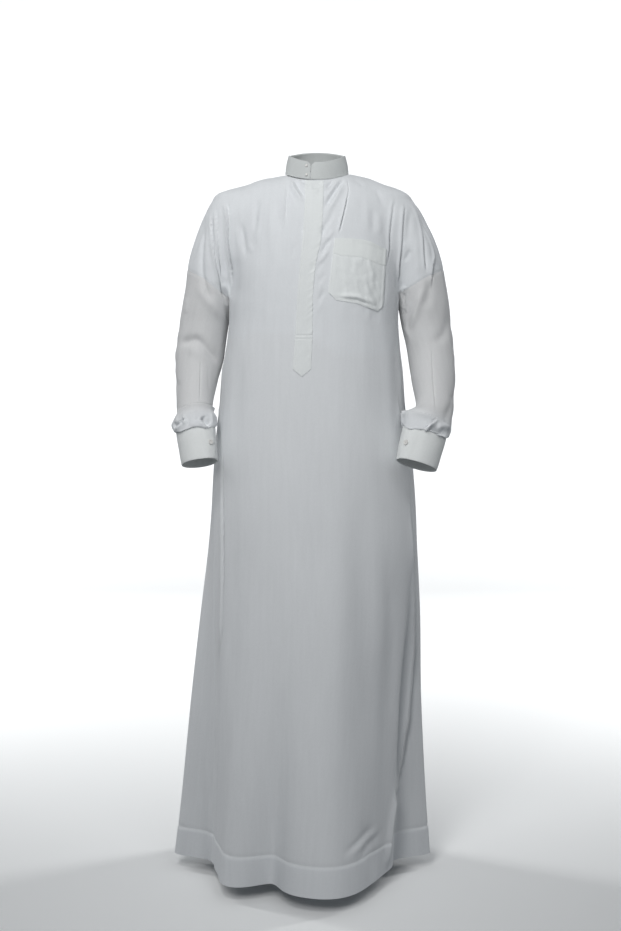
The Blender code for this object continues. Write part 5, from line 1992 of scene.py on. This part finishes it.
@dataclass
class Placket:
    """The covered opening: a band from the collar to a pointed end, crisp on the wearer's left."""

    front: BVHTree
    finishes: Finishes
    across: Array = field(default_factory=lambda: banded(22, 0.02)[None, :])
    down: Array = field(default_factory=lambda: banded(290, 0.0025)[:, None])
    top: float = -0.0215
    point_drop: float = 0.015
    proud: float = 0.0013
    least: float = 0.0008
    wall: float = 0.0007
    puff_height: float = -0.3264
    tack_width: float = 0.0014
    stitch_shares: tuple[float, float] = (0.09, 0.91)

    def outline(self) -> Array:
        """The band's grid of X and height.

        Returns:
            Rows from the collar down, columns from the sewn edge.
        """
        grid = []
        for share in self.down.ravel():
            level = self.top + (PLACKET_RIGHT[0][0] - self.top) * share
            right, left = float(pairs(PLACKET_RIGHT, level)), float(pairs(PLACKET_LEFT, level))
            x = right + (left - right) * self.across[0]
            rise = 6.0 * (x + 0.002) ** 2 * max(0.0, 1 - share * 8)
            point = (1 - np.abs(2 * self.across[0] - 1)) * float(ease((share - 0.93) / 0.07))
            grid.append(np.stack([x, level + rise - self.point_drop * point], axis=-1))
        return np.array(grid)

    def lift(self, height: Array) -> Array:
        """How proud the band stands: waves, a crumpled free edge, tucks below the collar and the tacks.

        Args:
            height: the height of each point.

        Returns:
            The distance from the cloth behind to the band's outer face.
        """
        across, down = self.across, self.down
        wave = noise_grid(across, down, lambda c, d: (c * 2.0, d * 26.0, 3.0))
        crumpled = noise_grid(across, down, lambda c, d: (c * 2.2 + d * 34.0, d * 12.0, 5.0))
        lift = self.proud - 0.0003 * across**3 + 0.0003 * wave + 0.0016 * np.abs(crumpled) * across**3
        lift = lift + bell(down, 0.028, 0.010) * np.sin(across * 17 + down * 90) * 0.0007
        lift = lift + 0.0004 * bell(height, self.puff_height, 0.016)
        for level, depth in TACKS:
            lift = lift - depth * bell(height, level, self.tack_width)
        rim = np.minimum(ease(across / 0.022), ease((1 - across) / 0.022))
        rim = np.minimum(rim, ease((1 - down) / 0.003))
        return np.maximum(lift - 0.0005 * (1 - rim), self.least)

    def build(self) -> list[Object]:
        """Make the placket, and its stitches down the sewn edge, round the point and across the two tacks.

        Returns:
            The dressed pieces.
        """
        outline = self.outline()
        cloth = Patch("front_placket", outline, self.lift(outline[..., 1]), self.wall).cloth(self.front)
        # the placket's lighter colour is partly its extra layer, partly painted light
        piece = dress(cloth.shell(), self.finishes.material(PLACKET_POPLIN_PAINTED_LIGHT), "robe_cloth", "front_placket")
        inner, outer = (nearest(self.across[0], share) for share in self.stitch_shares)
        heights = cloth.points[..., 2]
        loose, width = nearest(heights[:, outer], TACKS[0][0]), slice(inner, outer + 1)
        runs = [(slice(6, -4), inner), (slice(loose, -4), outer), (-4, width)]
        runs += [(nearest(heights.mean(axis=1), level), width) for level, _ in TACKS]
        return [piece, Stitching().sew("placket_stitches", self.finishes, cloth, *runs)]


@dataclass
class Pocket:
    """The chest pocket: a hemmed mouth, clipped lower corners and a sagging fold above its bottom edge."""

    front: BVHTree
    finishes: Finishes
    across: Array = field(default_factory=lambda: banded(84, 0.010)[None, :])
    down: Array = field(default_factory=lambda: banded(84, 0.008)[:, None])
    band: float = 0.285
    proud: float = 0.0013
    least: float = 0.0010
    stitch_share: float = 0.02
    # share of the width, then X and height at the mouth and at the bottom
    lines: tuple = (
        (0.00, 0.0330, -0.1370, 0.0210, -0.2410), (0.14, 0.0480, -0.1368, 0.0360, -0.2555),
        (0.50, 0.0850, -0.1385, 0.0750, -0.2610), (0.90, 0.1250, -0.1515, 0.1175, -0.2760),
        (1.00, 0.1350, -0.1550, 0.1285, -0.2650),
    )

    def outline(self) -> Array:
        """The pocket's grid of X and height, from its mouth down.

        Returns:
            Rows from the mouth down.
        """
        shares, *edges = zip(*self.lines)
        top_x, top_z, end_x = (smooth_curve(shares, edge, self.across) for edge in edges[:3])
        end_z = np.interp(self.across, shares, edges[3])
        return np.stack([top_x + (end_x - top_x) * self.down, top_z + (end_z - top_z) * self.down], axis=-1)

    def lift(self, hem: Array) -> Array:
        """How proud the pocket stands: its hem, the gape of its mouth, the sag and fine waves.

        Args:
            hem: 1 on the mouth's hem and 0 below it.

        Returns:
            The distance from the cloth behind to the pocket's outer face.
        """
        across, down = self.across, self.down
        gape = ease(1 - down / 0.10) ** 2 * np.sin(math.pi * across**2.2) ** 1.5
        lift = self.proud + 0.0005 * hem + 0.0016 * gape - 0.0007 * bell(down, self.band, 0.010)
        lift = lift + 0.0007 * bell(across, 0.08, 0.06) * (1 - 0.7 * hem) + 0.0008 * bell(across, 0.965, 0.018)
        sag = np.sin(math.pi * np.clip((across - 0.08) / 0.84, 0, 1)) ** 1.5
        sag = sag * (1 + 0.45 * noise_grid(across, np.zeros(1), lambda c, _: (c * 6.0, 1.7, 4.0)))
        level = 0.905 - 0.05 * (across - 0.5)
        lift = lift + sag * (0.0038 * bell(down, level, 0.040) - 0.0022 * bell(down, level + 0.048, 0.018))
        waves = noise_grid(across, down, lambda c, d: (c * 3.2, d * 2.4, 8.0))
        small = noise_grid(across, down, lambda c, d: (c * 9 - d * 5, d * 6 + c * 3, 2.0))
        crumple = 0.0012 * waves + 0.0020 * small * (0.4 + across) * (1 - 0.8 * hem)
        lift = lift + crumple * np.sin(math.pi * across) ** 0.5
        rim = np.minimum(ease(across / 0.012), ease((1 - across) / 0.012))
        rim = np.minimum(rim, ease((1 - down) / 0.010))
        return np.maximum(lift - 0.0005 * (1 - rim), self.least)

    def build(self) -> list[Object]:
        """Make the pocket, and its stitches round three sides and under the mouth's hem.

        Returns:
            The dressed pieces.
        """
        outline = self.outline()
        hem = ease((self.band - self.down) / 0.010)
        cloth = Patch("chest_pocket", outline, self.lift(hem)).cloth(self.front)
        cloth.lined = 0.45 + 0.55 * np.broadcast_to(hem, outline.shape[:2])
        # the pocket's lighter colour is partly its extra layer, partly painted light
        piece = dress(cloth.shell(), self.finishes.material(POCKET_POPLIN_PAINTED_LIGHT), "robe_cloth", "chest_pocket")
        near, far = nearest(self.across[0], self.stitch_share), nearest(self.across[0], 1 - self.stitch_share)
        low, mouth = nearest(self.down[:, 0], 1 - self.stitch_share), nearest(self.down[:, 0], self.band)
        down, width = slice(0, low), slice(near, far + 1)
        runs = ((down, near), (down, far), (low, width), (mouth, width))
        return [piece, Stitching().sew("pocket_stitches", self.finishes, cloth, *runs)]


# ---- collar, cuffs and fasteners

@dataclass(frozen=True)
class Lathe:
    """A fastener's turned profile, as radius and height in metres from below, and how many sides it has."""

    profile: tuple[tuple[float, float], ...]
    sides: int = 40


STUD = Lathe(((0.0, -0.0004), (0.0018, -0.0004), (0.0025, 0.0003), (0.0026, 0.0009), (0.0023, 0.0015),
              (0.0015, 0.0020), (0.0, 0.0022)))
BUTTON = Lathe(((0.0, -0.0004), (0.0044, -0.0004), (0.0052, 0.0004), (0.0052, 0.0012), (0.0048, 0.0018),
                (0.0042, 0.0020), (0.0036, 0.0017), (0.0030, 0.0014), (0.0, 0.0013)))


@dataclass
class Fastener:
    """A stud or button seated on cloth."""

    name: str
    lathe: Lathe
    finishes: Finishes
    clearance: float = 0.0005
    thread_reach: float = 0.0011
    thread_height: float = 0.0016

    def seat(self, tree: BVHTree, start: Sequence[float], direction: Sequence[float],
             sewn: bool) -> Object:
        """Stand the fastener on the first cloth that a line meets.

        Args:
            tree: the cloth's outer faces.
            start: where the line starts.
            direction: the way it runs.
            sewn: whether it is a button sewn on with crossed threads.

        Returns:
            The dressed fastener.
        """
        place, normal, _, _ = tree.ray_cast(Vector(start), Vector(direction))
        normal = normal if normal.dot(Vector(direction)) < 0 else -normal
        turn = Vector((0, 0, 1)).rotation_difference(normal).to_matrix().to_4x4()
        sides = self.lathe.sides
        turns = np.linspace(0, 2 * math.pi, sides, endpoint=False)
        inner = self.lathe.profile[1:-1]
        points = [(r * math.cos(a), r * math.sin(a), h) for r, h in inner for a in turns]
        faces = tube_faces(len(inner), sides)
        points += [(0, 0, self.lathe.profile[0][1]), (0, 0, self.lathe.profile[-1][1])]
        last = (len(inner) - 1) * sides
        for step in range(sides):
            right = (step + 1) % sides
            faces += [[len(points) - 2, right, step], [len(points) - 1, last + step, last + right]]
        parts = [(np.array(points), faces)] + (self.threads() if sewn else [])
        piece = join_meshes(self.name, parts)
        piece.data.transform(Matrix.Translation(place + normal * self.clearance) @ turn)
        piece.data.set_sharp_from_angle(angle=math.radians(50))
        return dress(piece, self.finishes.material(PEARL), "pearl_button", self.name)

    def threads(self) -> list[Part]:
        """Two crossing threads in the button's hollow.

        Returns:
            The threads.
        """
        stitch, up = Stitching(radius=0.00028), np.array([0.0, 0.0, 1.0])
        reach, height = self.thread_reach, self.thread_height
        ends = ((-reach, -reach), (reach, reach)), ((-reach, reach), (reach, -reach))
        return [stitch.thread(*(np.array([*end, height]) for end in pair), up) for pair in ends]


def stiff_cloth(name: str, grid: Array, wall: float, waves: tuple[float, float], rim: float,
                flipped: bool = False, lapped: bool = False) -> Cloth:
    """A stiff band with faint waves and rounded rims.

    Args:
        name: the band's name.
        grid: its outer points.
        wall: its thickness.
        waves: how close its waves are, and how high.
        rim: how far its rims are drawn in.
        flipped: whether its columns run the other way round.
        lapped: whether its first column lies under its last and keeps its place.

    Returns:
        The band's cloth.
    """
    cloth = Cloth(name, grid, wall=wall, flipped=flipped, lined=np.ones(grid.shape[:2]))
    closeness, height = waves
    cloth.points = grid + cloth.normals() * (height * noise_at(grid, closeness))[..., None]
    full = np.ones(grid.shape[:2])
    for index, share in enumerate((0.0, 0.55, 0.9)):
        borders = [full[index], full[-1 - index], full[:, -1 - index]]
        for border in borders if lapped else [*borders, full[:, index]]:
            np.minimum(border, share, out=border)
    cloth.points = cloth.points - cloth.normals() * (rim * (1 - full))[..., None]
    return cloth


@dataclass
class Collar:
    """The stiff stand collar, whose rounded ends meet in front, with its two studs."""

    cut: Cut
    finishes: Finishes
    height: float = 0.038
    taper: float = 0.0070
    corner: float = 0.0100
    notch: float = 0.0062
    dip: float = 0.003
    bow: float = 0.0012
    lift: float = 0.0004
    opening: float = 78.0
    gap: float = 0.45
    wall: float = 0.0021
    stud_x: float = -0.0205
    stud_levels: tuple[float, float] = (0.0100, -0.0080)

    def grid(self) -> Array:
        """Outer points: rows from the neck seam up, columns from the wearer's left end round the back.

        Returns:
            The grid.
        """
        dense = np.linspace(self.opening + self.gap, self.opening + 360 - self.gap, 721)
        run = run_along(self.cut.neck_point(dense % 360))
        shares = banded(190, 0.0022)
        turns = np.interp(shares * run[-1], run, dense)
        base = self.cut.neck_point(turns % 360)
        inward = unit(-base / np.array([self.cut.neck_half_width, self.cut.neck_forward, 1.0]) * (1, 1, 0))
        near = np.maximum(1 - np.minimum(shares, 1 - shares) * run[-1] / self.corner, 0.0)
        tall = self.height - self.dip * np.maximum(np.sin(np.radians(turns)), 0) ** 2 - self.notch * near**1.7
        rows = []
        for share in banded(22, 0.016):
            point = base + inward * (self.taper * share - self.bow * math.sin(math.pi * share))
            point[:, 2] = base[:, 2] + self.lift + tall * share
            rows.append(point)
        return np.stack(rows)

    def build(self) -> list[Object]:
        """Make the collar, its studs and its stitches.

        Returns:
            The dressed pieces.
        """
        cloth = stiff_cloth("collar_band", self.grid(), self.wall, (30.0, 0.0005), rim=0.0006)
        # the band's darker colour is painted shade from the wearer's chin
        made = [dress(cloth.shell(), self.finishes.material(COLLAR_POPLIN_PAINTED_SHADE), "stiffened_cloth", "collar_band")]
        tree = cloth.tree()
        for name, height in zip(("collar_stud_upper", "collar_stud_lower"), self.stud_levels):
            fastener = Fastener(name, STUD, self.finishes)
            made.append(fastener.seat(tree, (self.stud_x, -1.0, height), (0, 1, 0), sewn=False))
        return [*made, Stitching().sew("collar_stitches", self.finishes, cloth, (3, slice(4, -4)))]


@dataclass
class Cuff:
    """A stiff buttoned cuff below a sleeve, whose end laps over its start."""

    side: Side
    ring: Array
    cut: Cut
    finishes: Finishes
    height: float = 0.070
    taper: float = 0.0035
    swell: float = 0.0006
    lift: float = 0.0002
    lap_degrees: float = 24
    lap_step: float = 0.0026
    opening: float = 150
    wall: float = 0.0016
    button_column: int = -12

    def grid(self) -> Array:
        """Outer points: rows down from the sleeve, columns once round and over the lap.

        Returns:
            The grid.
        """
        count = len(self.ring)
        down = self.cut.form.cuff_axis(self.side)
        lap = round(self.lap_degrees / 360 * count)
        first = round(count * (self.opening - self.lap_degrees) / 360)
        length = count + lap
        places = banded(length, 0.0022) * length
        climb = ease((places - (count - lap - 1)) / (lap + 1))
        looped = np.concatenate([self.ring, self.ring])
        index = np.arange(len(looped))
        at = (first + places) % count
        base = np.stack([np.interp(at, index, looped[:, axis]) for axis in range(3)], axis=1)
        outward = base - self.ring.mean(axis=0)
        level = outward @ down
        outward = unit(outward - np.outer(level, down))
        fall = (self.height + level.min() - level)[:, None]
        rows = []
        for share in banded(26, 0.010):
            swell = self.swell * math.sin(math.pi * share) + self.lift - self.taper * share
            rows.append(base + fall * share * down + outward * (climb * self.lap_step + swell)[:, None])
        return np.stack(rows)

    def build(self) -> list[Object]:
        """Make the cuff, its button and its stitches.

        Returns:
            The dressed pieces.
        """
        word = self.side.word
        grid = self.grid()
        name = "cuff_" + word
        flipped = self.side is Side.RIGHT
        cloth = stiff_cloth(name, grid, self.wall, (34.0, 0.0007), rim=0.0005, flipped=flipped, lapped=True)
        # the cuff's lighter colour is painted light
        piece = dress(cloth.shell(), self.finishes.material(CUFF_POPLIN_PAINTED_LIGHT), "stiffened_cloth", name)
        near_end = grid[:, self.button_column].mean(axis=0)
        away = unit(near_end - grid.mean(axis=(0, 1)))
        fastener = Fastener("cuff_button_" + word, BUTTON, self.finishes)
        button = fastener.seat(cloth.tree(), near_end + away, -away, sewn=True)
        runs = ((row, slice(3, -4)) for row in (3, -4))
        return [piece, button, Stitching().sew("cuff_stitches_" + word, self.finishes, cloth, *runs)]


# ---- studio

@dataclass
class Studio:
    """The floor and backdrop, the soft lights and the camera."""

    floor: float = -1.42
    near: float = -14.0
    bend_start: float = 3.4
    bend_radius: float = 1.6
    bend_steps: int = 16
    half_width: float = 16.0
    top: float = 9.0
    camera_place: tuple[float, float, float] = (-0.013, -2.5, -0.4104)
    camera_pitch: float = 3.933
    lens: float = 47.52
    # name, place, target, size and power
    lamps: tuple = (
        ("key", (-0.62, -1.6, 1.55), (0.0, 0.0, -0.2), 0.6, 15.2),
        ("front", (-0.55, -2.2, 0.55), (0.0, 0.0, -0.15), 0.8, 19.4),
        ("low", (0.15, -2.3, -0.95), (0.05, 0.0, -1.40), 0.6, 1.2),
        ("fill", (0.8, -1.7, 1.2), (0.0, 0.0, -0.10), 0.8, 5.0),
        ("wall_right", (-2.6, 1.3, 0.8), (-0.4, 5.0, -0.2), 1.6, 140.0),
        ("wall_left", (2.6, 1.3, 0.8), (0.4, 5.0, -0.2), 1.6, 140.0),
    )

    def build(self) -> None:
        """Set the whole studio up."""
        self.backdrop()
        for lamp in self.lamps:
            self.light(*lamp)
        world = bpy.data.worlds.new("studio")
        bpy.context.scene.world = world
        world.use_nodes = True
        sky = world.node_tree.nodes["Background"]
        sky.inputs["Color"].default_value = (0.88, 0.94, 1.0, 1.0)
        sky.inputs["Strength"].default_value = 0.17
        bpy.context.scene.view_settings.view_transform = "Standard"
        data = bpy.data.cameras.new("camera")
        data.lens = self.lens
        data.sensor_width = 36.0
        camera = bpy.data.objects.new("camera", data)
        camera.location = self.camera_place
        camera.rotation_euler = (math.radians(90 - self.camera_pitch), 0.0, 0.0)
        bpy.context.scene.collection.objects.link(camera)
        bpy.context.scene.camera = camera

    def backdrop(self) -> None:
        """A floor that sweeps up into a wall behind."""
        profile = [(self.near, self.floor)]
        for step in range(self.bend_steps + 1):
            turn = math.radians(90 * step / self.bend_steps)
            rise = self.bend_radius * (1 - math.cos(turn))
            profile.append((self.bend_start + self.bend_radius * math.sin(turn), self.floor + rise))
        profile.append((self.bend_start + self.bend_radius, self.top))
        points = [(x, y, z) for x in (-self.half_width, self.half_width) for y, z in profile]
        count = len(profile)
        faces = [[step, count + step, count + step + 1, step + 1] for step in range(count - 1)]
        sweep = mesh_object("backdrop", np.array(points), faces)
        material = bpy.data.materials.new("backdrop")
        material.use_nodes = True
        shader = material.node_tree.nodes["Principled BSDF"]
        shader.inputs["Base Color"].default_value = (0.90, 0.91, 0.91, 1.0)
        shader.inputs["Roughness"].default_value = 0.9
        sweep.data.materials.append(material)
        sweep.visible_diffuse = False
        sweep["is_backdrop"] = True

    @staticmethod
    def light(name: str, place: Sequence[float], target: Sequence[float], size: float, power: float) -> None:
        """A square softbox that faces a target.

        Args:
            name: its name.
            place: where it stands.
            target: what it faces.
            size: the length of its side.
            power: its power in watts.
        """
        data = bpy.data.lights.new(name, "AREA")
        data.size = size
        data.energy = power
        lamp = bpy.data.objects.new(name, data)
        lamp.location = place
        lamp.rotation_euler = (Vector(target) - Vector(place)).to_track_quat("-Z", "Y").to_euler()
        bpy.context.scene.collection.objects.link(lamp)


def corners() -> list[list[float]]:
    """The shown object's lowest and highest corner as plain lists."""
    return [list(corner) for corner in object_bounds()]


def main() -> None:
    """Build the dressed robe in its studio."""
    logging.basicConfig(level=logging.INFO, format="%(name)s: %(message)s")
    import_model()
    finishes = Finishes()
    cut = Cut(RobeForm())
    robe = RobeCloth(cut, finishes)
    front = robe.cloths["front_panel"].tree()
    cuffs = [Cuff(side, robe.wrists[side], cut, finishes) for side in Side]
    for part in (robe, Placket(front, finishes), Pocket(front, finishes), Collar(cut, finishes), *cuffs):
        for piece in part.build():
            LOG.info("%s: %s with %d faces", type(part).__name__, piece.name, len(piece.data.polygons))
    Studio().build()


if __name__ == "__main__":
    main()
